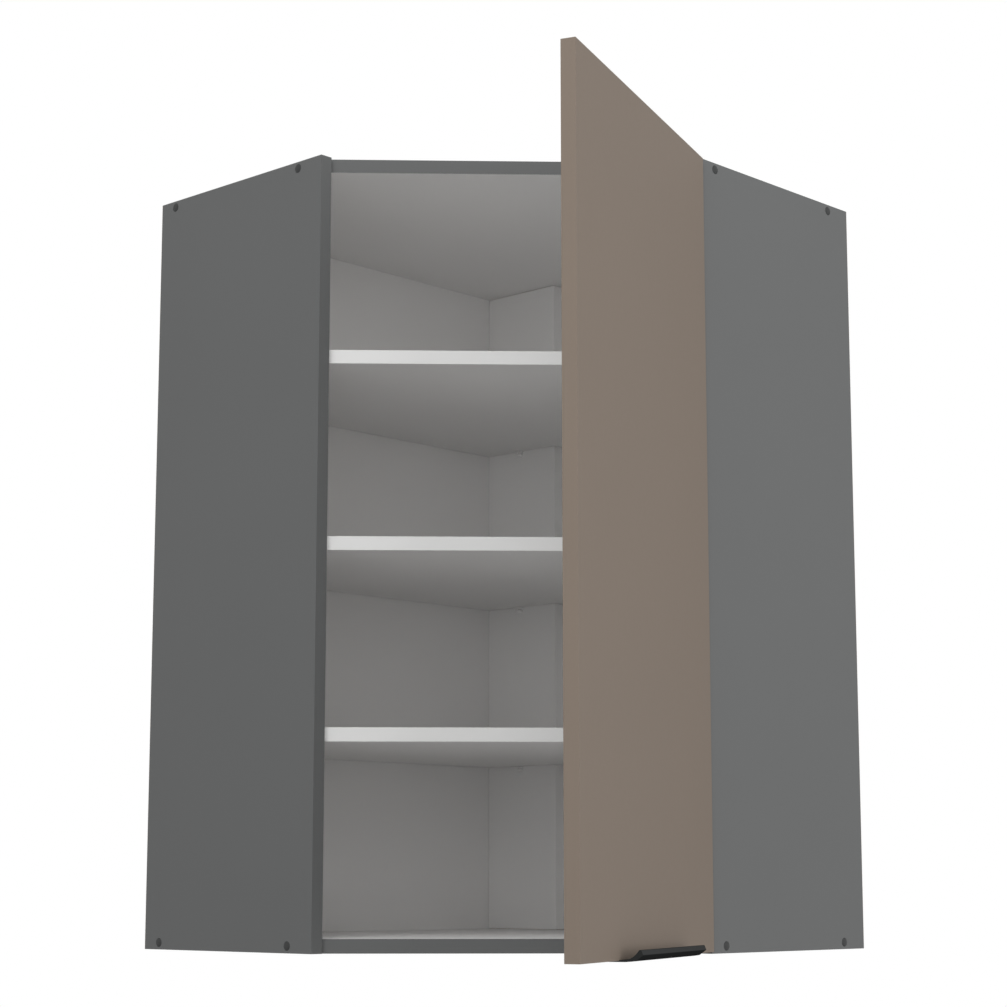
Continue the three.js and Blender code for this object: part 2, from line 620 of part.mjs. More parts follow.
// the cup: a turned bowl in the door with a flange, two ears and the cup pin
function hingeCup(height) {
  const outer = CUP_RADIUS - FIT;
  const inner = outer - CUP_WALL;
  const rim = -DOOR_THICKNESS - FIT;
  const floor = -DOOR_THICKNESS + CUP_DEPTH;
  const bowl = new THREE.LatheGeometry(
    [
      new THREE.Vector2(0, floor - CUP_WALL),
      new THREE.Vector2(inner, floor - CUP_WALL),
      new THREE.Vector2(inner, rim - FLANGE),
      new THREE.Vector2(outer, rim - FLANGE),
      new THREE.Vector2(outer, floor),
      new THREE.Vector2(0, floor),
    ],
    32,
  ).translate(CUP_FROM_EDGE, 0, height);
  const earX = CUP_FROM_EDGE + EAR_OFFSET;
  const lowerEar = new THREE.Vector2(earX, -EAR_SPACING / 2);
  const upperEar = new THREE.Vector2(earX, EAR_SPACING / 2);
  const flange = linkOutline(lowerEar, upperEar, EAR_RADIUS);
  // Drawn in XY and raised along Z, then laid on the door's back face.
  const lay = new THREE.Matrix4().set(1, 0, 0, 0, 0, 0, -1, rim, 0, 1, 0, height, 0, 0, 0, 1);
  const ears = prism(flange, 0, FLANGE, 8).applyMatrix4(lay);
  const disc = peg(CUP_RADIUS + 1.5, CUP_FROM_EDGE, height, rim - FLANGE, rim, 32);
  const mouth = peg(inner, CUP_FROM_EDGE, height, rim - FLANGE - EPS, rim + EPS, 32);
  const screwHoles = [-1, 1].map((side) =>
    peg(EAR_HOLE, earX, height + (side * EAR_SPACING) / 2, rim - FLANGE - EPS, rim + EPS, 12));
  const reach = inner + CUP_WALL / 2;
  const offset = CUP_FROM_EDGE - CUP_PIN_FROM_EDGE;
  const half = Math.sqrt(reach * reach - offset * offset);
  const pin = post(HINGE_PIN_RADIUS, cupPinDoor.x, cupPinDoor.y, height - half, height + half, 12);
  return join(bowl, cut(join(disc, ears), mouth, ...screwHoles), pin);
}

["lower", "upper"].forEach((level, index) => {
  const height = hingeHeights[index];
  add(`${level}_hinge_plate`, mountingPlate(height), nickel);
  add(`${level}_hinge_arm`, armPart(height), nickel);
  add(`${level}_hinge_outer_link`, outerLinkPart(height), nickel);
  add(`${level}_hinge_inner_link`, innerLinkPart(height), nickel);
  add(`${level}_hinge_cup`, hingeCup(height), nickel, doorGroup);
});

export default cabinet;
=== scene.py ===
# %% [markdown]
# # A corner wall cabinet, finished in Blender
# The cabinet hangs in the corner of a kitchen. Its front is cut off diagonally and closed by one door,
# which stands open here. The CAD model is already exact, so this script loads it as a frame and builds
# the visible boards, fittings and finishes on it. Lengths are written in millimetres, and turned into
# metres where a mesh is made.

# %% Load the frame
import math

import bmesh
import bpy
from mathutils import Matrix, Vector


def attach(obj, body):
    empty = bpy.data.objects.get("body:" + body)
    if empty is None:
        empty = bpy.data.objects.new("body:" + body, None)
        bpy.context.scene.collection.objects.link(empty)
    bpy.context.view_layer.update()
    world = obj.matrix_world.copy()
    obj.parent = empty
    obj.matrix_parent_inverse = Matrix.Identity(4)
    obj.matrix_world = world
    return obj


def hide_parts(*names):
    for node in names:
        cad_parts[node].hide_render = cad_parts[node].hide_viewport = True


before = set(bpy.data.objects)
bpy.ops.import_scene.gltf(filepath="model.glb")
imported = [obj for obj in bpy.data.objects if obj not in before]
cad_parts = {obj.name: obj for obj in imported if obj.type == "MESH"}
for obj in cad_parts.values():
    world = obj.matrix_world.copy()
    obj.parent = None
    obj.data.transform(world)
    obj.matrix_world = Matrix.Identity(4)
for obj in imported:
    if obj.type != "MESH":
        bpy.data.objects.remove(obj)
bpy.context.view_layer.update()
MM = 0.001

# %% [markdown]
# ## Camera
# The photograph was taken from low down in front of the diagonal, and the camera stands at the place
# found from the edges in the picture. It is tilted up and has only a little lens shift, so that the
# cabinet also stays in the frame when the camera is carried round it.

# %% Place the camera
CAMERA_PLACE = (2.1535, -2.2749, 0.0756)
LEVEL, TILT = 90, 8.892  # degrees: at LEVEL the camera looks along the floor
AZIMUTH = 43.25
turns = [math.radians(angle) for angle in (LEVEL + TILT, 0, AZIMUTH)]
bpy.ops.object.camera_add(location=CAMERA_PLACE, rotation=turns)
camera = bpy.context.object
camera.name = "photograph_camera"
camera.data.sensor_width = 36
camera.data.lens = 81.1
camera.data.shift_y = 0.025
camera.data.clip_end = 60
bpy.context.scene.camera = camera
bpy.context.scene.view_settings.view_transform = "Standard"
print("camera at", [round(n, 3) for n in camera.location], "lens", camera.data.lens)

# %% [markdown]
# ## Light
# The picture shows a studio's even light: a bright room all round, and one large soft lamp from the
# right, so that the faces to the right are a little lighter. The inside stays darker, because it sees
# the room only through the open front, and two weak lamps in front reach a little way into it. What the
# camera, gloss and glass see of the world is plain white.

# %% Write the helpers that place shader nodes
def put(tree, kind, fill=None, **settings):
    """Adds a shader node; fill gives its inputs a value or another node's output."""
    made = tree.nodes.new("ShaderNode" + kind)
    for name, value in settings.items():
        setattr(made, name, value)
    for name, value in (fill or {}).items():
        if isinstance(value, bpy.types.NodeSocket):
            tree.links.new(value, made.inputs[name])
        else:
            made.inputs[name].default_value = value
    return made


def calc(tree, operation, first, second=0.0):
    return put(tree, "Math", {0: first, 1: second}, operation=operation).outputs[0]


def seen_directly(tree):
    """1 for what the camera, a reflection or glass sees, and 0 for light that falls on things."""
    path = put(tree, "LightPath")
    kinds = ("Camera", "Glossy", "Transmission")
    camera_ray, glossy, through = (path.outputs[f"Is {kind} Ray"] for kind in kinds)
    return calc(tree, "MAXIMUM", calc(tree, "MAXIMUM", camera_ray, glossy), through)


# %% Light the studio
ROOM_LIGHT = 0.78
world = bpy.data.worlds.new("studio")
bpy.context.scene.world = world
world.use_nodes = True
world.node_tree.nodes.clear()
room = put(world.node_tree, "Background", {"Color": (1, 1, 1, 1), "Strength": ROOM_LIGHT})
white = put(world.node_tree, "Background", {"Color": (1, 1, 1, 1), "Strength": 1.0})
plain = seen_directly(world.node_tree)
both = put(world.node_tree, "MixShader", {0: plain, 1: room.outputs[0], 2: white.outputs[0]})
put(world.node_tree, "OutputWorld", {"Surface": both.outputs[0]})


def soft_lamp(name, place, aim, size, power):
    """A square lamp at place, turned towards aim."""
    bpy.ops.object.light_add(type="AREA", location=place)
    lamp = bpy.context.object
    lamp.name = name
    lamp.rotation_euler = (Vector(aim) - Vector(place)).to_track_quat("-Z", "Y").to_euler()
    lamp.data.size = size
    lamp.data.energy = power
    return lamp


soft_lamp("large_soft_lamp", place=(5.2, -0.9, 0.8), aim=(0.5, -0.4, 0.45), size=3.8, power=116)
soft_lamp("front_soft_lamp", place=(2.0, -2.6, 0.5), aim=(0.1, -0.3, 0.45), size=1.6, power=10)
soft_lamp("upper_front_lamp", place=(1.6, -2.6, 2.0), aim=(0.1, -0.2, 0.3), size=1.6, power=25)
print("room light", ROOM_LIGHT)

# %% [markdown]
# ## Floor
# The cabinet hangs on a wall, so the floor is well below it. It is a pale sheet that keeps the soft
# shadow in the middle and runs out into the white of the room, so that no edge of it shows.

# %% Lay the floor
bpy.ops.object.select_all(action="DESELECT")
FLOOR_LEVEL, FLOOR_SIDE = -0.9, 11
FADE_START, FADE_END = 1.2, 4.6  # metres from the floor's middle
THROWN_SHADE, SEEN_SHADE = (0.28, 0.28, 0.28, 1), (0.9, 0.9, 0.9, 1)  # it throws up less than it shows
LEAST_GLOW = 0.4  # keeps it pale everywhere
bpy.ops.mesh.primitive_plane_add(size=FLOOR_SIDE, location=(0.35, -0.35, FLOOR_LEVEL))
floor = bpy.context.object
floor.name = "studio_floor"
pale = bpy.data.materials.new("pale studio floor")
pale.use_nodes = True
tree = pale.node_tree
tree.nodes.clear()
place = put(tree, "TexCoord").outputs["Object"]
distance = put(tree, "VectorMath", {0: place}, operation="LENGTH").outputs["Value"]
span = {"Value": distance, "From Min": FADE_START, "From Max": FADE_END}
fade = put(tree, "MapRange", span, interpolation_type="SMOOTHSTEP")
seen = seen_directly(tree)
shade = put(tree, "Mix", {0: seen, 6: THROWN_SHADE, 7: SEEN_SHADE}, data_type="RGBA")
paper = put(tree, "BsdfDiffuse", {"Color": shade.outputs[2]})
glow = put(tree, "Emission", {"Color": (1, 1, 1, 1), "Strength": 1.0})
reach = put(tree, "MapRange", {"Value": fade.outputs[0], "To Min": LEAST_GLOW})
share = calc(tree, "MULTIPLY", reach.outputs[0], seen)
sheet = put(tree, "MixShader", {0: share, 1: paper.outputs[0], 2: glow.outputs[0]})
put(tree, "OutputMaterial", {"Surface": sheet.outputs[0]})
floor.data.materials.append(pale)
print("floor at height", round(floor.location.z, 2), "m")

# %% [markdown]
# ## Shared effects
# Most finishes share a few traits: their colour drifts a little over the surface, a press plate or a
# spray gun leaves fine relief, and plated metal has faint marks along the sheet. Each trait is a node
# group, built once. It gives out colours and numbers, and the shader stays in each material.

# %% Write a helper that starts a node group
COLOUR, NUMBER = "NodeSocketColor", "NodeSocketFloat"


def new_group(name, inputs, outputs):
    """A node group with these sockets, the place on the object, and the group's two ends."""
    group = bpy.data.node_groups.new(name, "ShaderNodeTree")
    for label, value in inputs.items():
        kind = COLOUR if isinstance(value, tuple) else NUMBER
        group.interface.new_socket(label, in_out="INPUT", socket_type=kind).default_value = value
    for label, kind in outputs.items():
        group.interface.new_socket(label, in_out="OUTPUT", socket_type=kind)
    taken, given = group.nodes.new("NodeGroupInput").outputs, group.nodes.new("NodeGroupOutput").inputs
    return group, put(group, "TexCoord").outputs["Object"], taken, given


def noise(tree, vector, scale, detail=3.0):
    return put(tree, "TexNoise", {"Vector": vector, "Scale": scale, "Detail": detail}).outputs["Fac"]


def blend(tree, share, first, second, way="MIX"):
    return put(tree, "Mix", {0: share, 6: first, 7: second}, data_type="RGBA", blend_type=way).outputs[2]


# %% Build the colour drift group
# A slow cloud and a fine speckle shift the colour a little.
drift, spot, taken, given = new_group(
    "colour_drift",
    {"Colour": (0.5, 0.5, 0.5, 1), "Cloud size": 6.0, "Cloud": 0.02, "Speckle size": 900.0, "Speckle": 0.02},
    {"Colour": COLOUR},
)
cloud = noise(drift, spot, taken["Cloud size"])
speckle = noise(drift, spot, taken["Speckle size"], 2.0)
slow = calc(drift, "MULTIPLY", calc(drift, "SUBTRACT", cloud, 0.5), taken["Cloud"])
quick = calc(drift, "MULTIPLY", calc(drift, "SUBTRACT", speckle, 0.5), taken["Speckle"])
level = calc(drift, "ADD", calc(drift, "ADD", slow, quick), 0.5)
lift = put(drift, "MapRange", {"Value": level, "To Max": 2.0}).outputs[0]
drift.links.new(blend(drift, 1.0, taken["Colour"], lift, "MULTIPLY"), given["Colour"])

# %% Build the fine relief group
# Soft bumps of two sizes.
relief, spot, taken, given = new_group(
    "fine_relief",
    {"Grain size": 1400.0, "Wave size": 260.0, "Wave share": 0.3, "Roughness": 0.4, "Roughness range": 0.06},
    {"Height": NUMBER, "Roughness": NUMBER},
)
grain = noise(relief, spot, taken["Grain size"], 2.0)
wave = noise(relief, spot, taken["Wave size"], 1.0)
height = put(relief, "Mix", {0: taken["Wave share"], 2: grain, 3: wave}, data_type="FLOAT").outputs[0]
wander = calc(relief, "MULTIPLY", calc(relief, "SUBTRACT", wave, 0.5), taken["Roughness range"])
relief.links.new(height, given["Height"])
relief.links.new(calc(relief, "ADD", wander, taken["Roughness"]), given["Roughness"])

# %% Build the chip group
# Sawn chipboard is flakes of several wood tones, finest near the faces, with small dark gaps between them.
chips, spot, taken, given = new_group(
    "sawn_chips",
    {"Flake size": 420.0, "Flake length": 0.45, "Gap": 0.16},
    {"Colour": COLOUR, "Height": NUMBER},
)
length = taken["Flake length"]
stretch = put(chips, "CombineXYZ", {"X": length, "Y": length, "Z": 1.0}).outputs[0]
long_spot = put(chips, "VectorMath", {0: spot, 1: stretch}, operation="MULTIPLY").outputs[0]
cells = {"Vector": long_spot, "Scale": taken["Flake size"]}
flakes = put(chips, "TexVoronoi", cells)
tone = put(chips, "SeparateColor", {0: flakes.outputs["Color"]}).outputs[0]
ramp = put(chips, "ValToRGB", {0: tone})
ramp.color_ramp.elements[0].color = (0.34, 0.215, 0.115, 1)
ramp.color_ramp.elements[1].color = (0.66, 0.49, 0.31, 1)
ramp.color_ramp.elements.new(0.5).color = (0.53, 0.36, 0.205, 1)
edge = put(chips, "TexVoronoi", cells, feature="DISTANCE_TO_EDGE").outputs["Distance"]
gap = put(chips, "MapRange", {"Value": edge, "From Min": 0.0, "From Max": taken["Gap"]}).outputs[0]
chips.links.new(blend(chips, gap, (0.2, 0.125, 0.07, 1), ramp.outputs[0]), given["Colour"])
chips.links.new(calc(chips, "MULTIPLY", gap, calc(chips, "ADD", tone, 0.4)), given["Height"])

# %% Build the drawn metal group
# Faint marks run along one direction, and plating has cloudy patches of shine.
marks, spot, taken, given = new_group(
    "drawn_metal",
    {"Mark size": 260.0, "Stretch": 0.06, "Roughness": 0.28, "Roughness range": 0.16},
    {"Height": NUMBER, "Roughness": NUMBER, "Marks": NUMBER},
)
along = put(marks, "CombineXYZ", {"X": taken["Stretch"], "Y": taken["Stretch"], "Z": 1.0}).outputs[0]
long_spot = put(marks, "VectorMath", {0: spot, 1: along}, operation="MULTIPLY").outputs[0]
lines = noise(marks, long_spot, calc(marks, "MULTIPLY", taken["Mark size"], 12.0), 4.0)
patch = noise(marks, spot, taken["Mark size"], 3.0)
mixed = calc(marks, "ADD", calc(marks, "MULTIPLY", lines, 0.6), calc(marks, "MULTIPLY", patch, 0.4))
marks.links.new(lines, given["Height"])
marks.links.new(mixed, given["Marks"])
wander = calc(marks, "MULTIPLY", calc(marks, "SUBTRACT", mixed, 0.5), taken["Roughness range"])
marks.links.new(calc(marks, "ADD", wander, taken["Roughness"]), given["Roughness"])
print("shared effects:", [group.name for group in bpy.data.node_groups])

# %% [markdown]
# ## Finishes
# The outside of the carcass is dust-grey melamine with a satin press-plate texture, the inside is white
# melamine, and the front edges carry a thin plastic edging in the same colours. The door's front is
# lacquered taupe, the handle is powder coated in black, and the fittings are nickel or zinc plated steel.

# %% Write the helpers that make a finish
def screen(red, green, blue):
    """An 8-bit screen colour as the linear colour that a shader takes."""
    shares = (red / 255, green / 255, blue / 255)
    return (*(c / 12.92 if c <= 0.04 else ((c + 0.055) / 1.055) ** 2.4 for c in shares), 1)


def from_group(tree, group, **fill):
    made = put(tree, "Group", node_tree=group)
    for name, value in fill.items():
        socket = made.inputs[name.replace("_", " ").capitalize()]
        if isinstance(value, bpy.types.NodeSocket):
            tree.links.new(value, socket)
        else:
            socket.default_value = value
    return made.outputs


def start_finish(name):
    """A new material with an empty Principled shader, ready to be wired."""
    finish = bpy.data.materials.new(name)
    finish.use_nodes = True
    return finish, finish.node_tree, finish.node_tree.nodes["Principled BSDF"]


def wire(tree, shader, colour, roughness, height, bump, depth):
    """Gives the shader its colour, its roughness and its bumps."""
    lumps = put(tree, "Bump", {"Height": height, "Strength": bump, "Distance": depth})
    for name, source in (("Base Color", colour), ("Roughness", roughness), ("Normal", lumps.outputs[0])):
        tree.links.new(source, shader.inputs[name])


def coat(
    name, colour, roughness, bump, gloss=0.5,
    cloud=0.02, speckle=0.03, grain=1400.0, wave=260.0, wave_share=0.3, spread=0.06,
):
    """A coloured coat: melamine, edging, lacquer, powder or moulded plastic, by its values."""
    finish, tree, shader = start_finish(name)
    tint = from_group(tree, drift, colour=colour, cloud=cloud, speckle=speckle, speckle_size=grain * 0.7)
    sizes = {"grain_size": grain, "wave_size": wave, "wave_share": wave_share}
    surface = from_group(tree, relief, roughness=roughness, roughness_range=spread, **sizes)
    wire(tree, shader, tint["Colour"], surface["Roughness"], surface["Height"], bump, 0.0002)
    shader.inputs["Specular IOR Level"].default_value = gloss
    return finish


# %% Mix the board and door finishes
grey_melamine = coat("grey melamine", screen(99, 100, 100), roughness=0.6, bump=0.25, gloss=0.1)
grey_edging = coat("grey edging", screen(93, 94, 94), roughness=0.55, bump=0.12, grain=2200.0, gloss=0.12)
white_melamine = coat(
    "white melamine", screen(238, 237, 236), roughness=0.44, bump=0.22, cloud=0.012, speckle=0.012
)
white_edging = coat(
    "white edging", screen(206, 206, 205), roughness=0.38, bump=0.10, cloud=0.01, speckle=0.01, grain=2200.0
)
SPRAYED = {"speckle": 0.02, "grain": 700.0, "wave": 160.0, "wave_share": 0.6}
taupe_lacquer = coat("taupe lacquer", screen(119, 108, 98), roughness=0.62, bump=0.18, gloss=0.1, **SPRAYED)
print("finishes so far:", [finish.name for finish in bpy.data.materials])

# %% Mix the finishes of the small parts
POWDER = {"gloss": 0.0, "cloud": 0.06, "grain": 2600.0, "wave": 700.0, "wave_share": 0.4, "spread": 0.1}
black_powder = coat("black powder coat", screen(44, 45, 45), roughness=0.6, bump=0.5, speckle=0.12, **POWDER)
# A paler copy of the black coat for the lip's upward front face: its lighter colour is a painted sheen.
lip_sheen_painted_powder = coat(
    "powder coat with painted sheen", screen(56, 57, 57), roughness=0.55, bump=0.4, speckle=0.08, **POWDER
)
cap_plastic = coat(
    "grey cap plastic", screen(57, 58, 58), roughness=0.5, bump=0.2, cloud=0.03, grain=3000.0, gloss=0.15
)
white_plastic = coat(
    "white moulded plastic", screen(226, 225, 221), roughness=0.34, bump=0.18, speckle=0.01, grain=1800.0
)
hole_shade = coat(
    "drilled hole", screen(150, 141, 130), roughness=0.8, bump=0.6, cloud=0.2, speckle=0.3, grain=1200.0
)


def plated(name, colour, roughness, spread, size=260.0):
    """Plated steel: metallic, with drawn marks that also tint it a little."""
    finish, tree, shader = start_finish(name)
    sheet = from_group(tree, marks, mark_size=size, roughness=roughness, roughness_range=spread)
    dark = tuple(c * 0.72 for c in colour[:3]) + (1,)
    tint = blend(tree, sheet["Marks"], dark, colour)
    wire(tree, shader, tint, sheet["Roughness"], sheet["Height"], 0.15, 0.0001)
    shader.inputs["Metallic"].default_value = 1.0
    return finish


nickel = plated("nickel plated steel", (0.78, 0.765, 0.735, 1), roughness=0.26, spread=0.16)
zinc = plated("zinc plated steel", (0.70, 0.72, 0.74, 1), roughness=0.38, spread=0.24, size=420.0)
print("plated finishes:", nickel.name, zinc.name)

# %% Mix the raw board finishes
def sawn(name, size, tint, bump, cloud=0.25):
    """Unfinished wood board: sawn chips or pressed fibres."""
    finish, tree, shader = start_finish(name)
    flakes = from_group(tree, chips, flake_size=size)
    tinted = blend(tree, 1.0, flakes["Colour"], tint, "MULTIPLY")
    clouded = from_group(tree, drift, colour=tinted, cloud=cloud, cloud_size=14.0)
    surface = from_group(tree, relief, roughness=0.8, roughness_range=0.15)
    wire(tree, shader, clouded["Colour"], surface["Roughness"], flakes["Height"], bump, 0.0004)
    shader.inputs["Specular IOR Level"].default_value = 0.25
    return finish


raw_chipboard = sawn("raw chipboard", size=420.0, tint=(1.45, 1.42, 1.4, 1), bump=0.6)
hardboard = sawn("brown hardboard", size=1500.0, tint=(0.78, 0.74, 0.72, 1), bump=0.12, cloud=0.12)

# %% Mix the soft rubber
rubber, tree, shader = start_finish("clear soft rubber")
clouding = from_group(tree, drift, colour=screen(228, 228, 224), cloud=0.1, speckle=0.05)
surface = from_group(tree, relief, grain_size=2500.0, roughness=0.3, roughness_range=0.1)
wire(tree, shader, clouding["Colour"], surface["Roughness"], surface["Height"], 0.2, 0.0001)
shader.inputs["Transmission Weight"].default_value = 0.65
shader.inputs["IOR"].default_value = 1.45
print("raw and soft finishes:", raw_chipboard.name, hardboard.name, rubber.name)

# %% [markdown]
# ## Modelling by hand, in code
# Each piece starts as a primitive at its size and place and is shaped in edit mode. An operator works on
# whatever is selected, so everything is deselected first, and then faces or edges are picked by where
# they are or which way they face.

# %% Write the helpers that pick
def leave_all():
    """Ends edit mode and deselects everything."""
    if bpy.context.mode != "OBJECT":
        bpy.ops.object.mode_set(mode="OBJECT")
    bpy.ops.object.select_all(action="DESELECT")


def take(*pieces):
    """Selects just these pieces, the last one active."""
    leave_all()
    for piece in pieces:
        piece.select_set(True)
    bpy.context.view_layer.objects.active = pieces[-1]


def edit(piece, faces=None, edges=None):
    """Opens the piece in edit mode with only those faces or edges picked that the test accepts."""
    take(piece)
    bpy.ops.object.mode_set(mode="EDIT")
    bpy.ops.mesh.select_mode(type="FACE" if faces else "EDGE")
    bpy.ops.mesh.select_all(action="DESELECT")
    shape = bmesh.from_edit_mesh(piece.data)
    for part in shape.faces if faces else shape.edges:
        part.select_set((faces or edges)(part))
    bmesh.update_edit_mesh(piece.data)


def middle(edge):
    """The middle of an edge, in millimetres."""
    return (edge.verts[0].co + edge.verts[1].co) / 2 / MM


def every(part):
    return True


def bent(angle):
    """A test for edges whose two faces meet at more than this angle, in radians."""
    return lambda edge: edge.calc_face_angle(0) > angle


def stands_out(edge, angle):
    """Whether the edge is an outer one whose faces meet at more than this angle, in radians."""
    return edge.calc_face_angle_signed(0) > angle


# %% Write the helpers that make and join
def settle(piece, name):
    """Names the piece and puts its place into its mesh."""
    piece.name = piece.data.name = name
    bpy.ops.object.transform_apply(location=True, rotation=True, scale=True)
    return piece


def block(name, low, high):
    """A box between two corners, in millimetres."""
    leave_all()
    low, high = Vector(low) * MM, Vector(high) * MM
    bpy.ops.mesh.primitive_cube_add(size=1, location=(low + high) / 2, scale=high - low)
    return settle(bpy.context.object, name)


def rod(name, centre, radius, length, axis, sides):
    """A cylinder along X or Y, in millimetres."""
    leave_all()
    turn = {"X": (0, math.pi / 2, 0), "Y": (math.pi / 2, 0, 0)}[axis]
    size = {"radius": radius * MM, "depth": length * MM}
    bpy.ops.mesh.primitive_cylinder_add(vertices=sides, location=Vector(centre) * MM, rotation=turn, **size)
    return settle(bpy.context.object, name)


def joined(name, *pieces):
    take(*pieces)
    bpy.ops.object.join()
    bpy.context.object.name = bpy.context.object.data.name = name
    return bpy.context.object


def cut(piece, *cutters):
    """Takes the cutters' shapes out of the piece."""
    cutter = joined("cutter", *cutters) if len(cutters) > 1 else cutters[0]
    take(piece)
    change = piece.modifiers.new("cut", "BOOLEAN")
    change.operation, change.solver, change.object = "DIFFERENCE", "EXACT", cutter
    bpy.ops.object.modifier_apply(modifier=change.name)
    bpy.data.objects.remove(cutter)
    return piece


def round_edges(piece, width, segments=2, edges=every):
    """Bevels the picked edges in edit mode, width in millimetres."""
    edit(piece, edges=edges)
    bpy.ops.mesh.bevel(offset=width * MM, segments=segments, profile=0.5, affect="EDGES", clamp_overlap=True)
    leave_all()
    return piece


# %% Write the helpers that copy and finish
MIRROR = Matrix(((0, -1, 0, 0), (-1, 0, 0, 0), (0, 0, 1, 0), (0, 0, 0, 1)))  # right-hand wall to left


def copied(piece, name, placement):
    """A copy with its own mesh, carried by a matrix; a mirror gets its faces turned out again."""
    twin = piece.copy()
    twin.data = piece.data.copy()
    twin.name = twin.data.name = name
    bpy.context.scene.collection.objects.link(twin)
    twin.data.transform(placement)
    if placement.determinant() < 0:
        twin.data.flip_normals()
    return twin


def dress(piece, *coats):
    """Gives each face the last coat whose test accepts its middle, in millimetres, and its normal."""
    for finish, test in coats:
        piece.data.materials.append(finish)
    for face in piece.data.polygons:
        for index, (finish, test) in enumerate(coats):
            if test is None or test(face.center / MM, face.normal):
                face.material_index = index


def hand_over(piece, body, nodes, angle=35):
    """Shades the piece, hangs it on its body and hides the CAD nodes it stands for."""
    take(piece)
    bpy.ops.object.shade_smooth_by_angle(angle=math.radians(angle))
    even = piece.modifiers.new("even", "WEIGHTED_NORMAL")  # keeps large faces flat beside their bevels
    even.keep_sharp = True
    bpy.ops.object.modifier_apply(modifier=even.name)
    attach(piece, body)
    if nodes:
        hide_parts(*nodes)
    return piece


def on_both_walls(piece, name, body, node):
    """Hands over the piece for the right-hand wall, and its mirror image for the left one."""
    twin = copied(piece, f"left_{name}", MIRROR)
    piece.name = piece.data.name = f"right_{name}"
    for side, made in (("right", piece), ("left", twin)):
        hand_over(made, body.format(side), [f"{side}_{node}"])


def report(title, *pieces):
    print(title, *(f"{piece.name}: {len(piece.data.polygons)} faces" for piece in pieces))


# %% [markdown]
# ## Side panels
# Each side is one melamine-faced board, grey outside and white inside, with plastic edging on the front
# and bare chipboard at the wall. A back sheet slides in a groove. Two rows of small holes inside take the
# shelf supports, and a shallow round pocket outside takes the cap of each carcass screw. The left panel
# is the right one's mirror image in the corner's diagonal.

# %% Name the carcass's sizes
# In millimetres, as in the CAD model. The origin is where the two walls meet, under the bottom board.
HEIGHT = 900
WALL_RUN = 598  # width along each wall
SIDE_DEPTH = 290  # how far a side panel stands out from its wall
BOARD = 16  # thickness of the boards
INNER_FACE = WALL_RUN - BOARD  # of the right side panel
FIT = 0.3  # gap between pieces that touch
SHEET = 3  # thickness of the back sheets
WALL_CAVITY = 14  # between a wall and the sheet in front of it
GROOVE_NEAR, GROOVE_FAR = WALL_CAVITY - FIT, WALL_CAVITY + SHEET + FIT  # distances from the wall
GROOVE_DEPTH = 7
GROOVE_END = BOARD - GROOVE_DEPTH  # from either end of a side panel
END_LEVELS = {"bottom": BOARD / 2, "top": HEIGHT - BOARD / 2}  # middles of the end boards
print("the inner face of the right side is", INNER_FACE, "mm from the left wall")

# %% Model the right side panel
LOWEST_SHELF, SHELF_STEP = 231, 214.5
SHELVES = [LOWEST_SHELF + number * SHELF_STEP for number in range(3)]  # undersides
PIN_ROWS = (-50, 52 - SIDE_DEPTH)  # y of the rear and of the front row
PIN_RADIUS = 2.5
PIN_DROP = 5  # from a shelf's underside to the middle of its pins
HOLE_STEP = SHELF_STEP / 7  # so that each shelf finds a hole
HOLE_DEPTH, DRILL_LENGTH = 14, 20
blank = round_edges(block("blank", (INNER_FACE, -SIDE_DEPTH, 0), (WALL_RUN, 0, HEIGHT)), 0.3)
drill_middle = INNER_FACE + HOLE_DEPTH - DRILL_LENGTH / 2
hole_levels = [LOWEST_SHELF - PIN_DROP + step * HOLE_STEP for step in range(-2, 18)]
spots = [(drill_middle, y, z) for y in PIN_ROWS for z in hole_levels]
holes = [rod("hole", spot, PIN_RADIUS, DRILL_LENGTH, "X", 16) for spot in spots]
groove_start = (INNER_FACE - 2, -GROOVE_FAR, GROOVE_END)
groove_stop = (INNER_FACE + GROOVE_DEPTH, -GROOVE_NEAR, HEIGHT - GROOVE_END)
cut(blank, *holes, block("groove", groove_start, groove_stop))
report("drilled and grooved blank", blank)

# %% Sink the pockets, give the faces their finishes and mirror the panel
CAP_PLACES = {"right": (-40, 26 - SIDE_DEPTH), "left": (-26, 40 - SIDE_DEPTH)}  # before the left is mirrored
POCKET_RADIUS, POCKET_FLOOR, POCKET_CUTTER = 5.15, WALL_RUN - 1.8, 2.4
RIM = 0.6  # a face whose middle is this close to an end of the board belongs to that end


def in_hole(at, facing):
    return abs(facing.x) < 0.99 and INNER_FACE + 1 < at.x < WALL_RUN - 2


def on_outside(at, facing):
    return at.x > POCKET_FLOOR - 0.1


def on_edging(at, facing):
    return at.y < RIM - SIDE_DEPTH or at.z < RIM or at.z > HEIGHT - RIM


for side, placement in (("right", Matrix.Identity(4)), ("left", MIRROR)):
    drilled = copied(blank, "drilled", Matrix.Identity(4))
    spots = [(POCKET_FLOOR + POCKET_CUTTER / 2, y, z) for y in CAP_PLACES[side] for z in END_LEVELS.values()]
    cut(drilled, *[rod("pocket", spot, POCKET_RADIUS, POCKET_CUTTER, "X", 32) for spot in spots])
    dress(
        drilled,
        (white_melamine, None),
        (hole_shade, in_hole),
        (grey_melamine, on_outside),
        (grey_edging, on_edging),
        (raw_chipboard, lambda at, facing: at.y > -RIM),
    )
    panel = copied(drilled, f"{side}_side_board", placement)
    bpy.data.objects.remove(drilled)
    hand_over(panel, "carcass", [f"{side}_side_panel"])
    report("side panel", panel)
bpy.data.objects.remove(blank)

# %% [markdown]
# ## Top, bottom and shelves
# These are five-cornered boards. Each starts as a square block, and a bisecting plane takes off the
# corner towards the room, which leaves the diagonal front edge. The shelves stop further back, behind the
# closed door, and have a notch round the upright corner board.

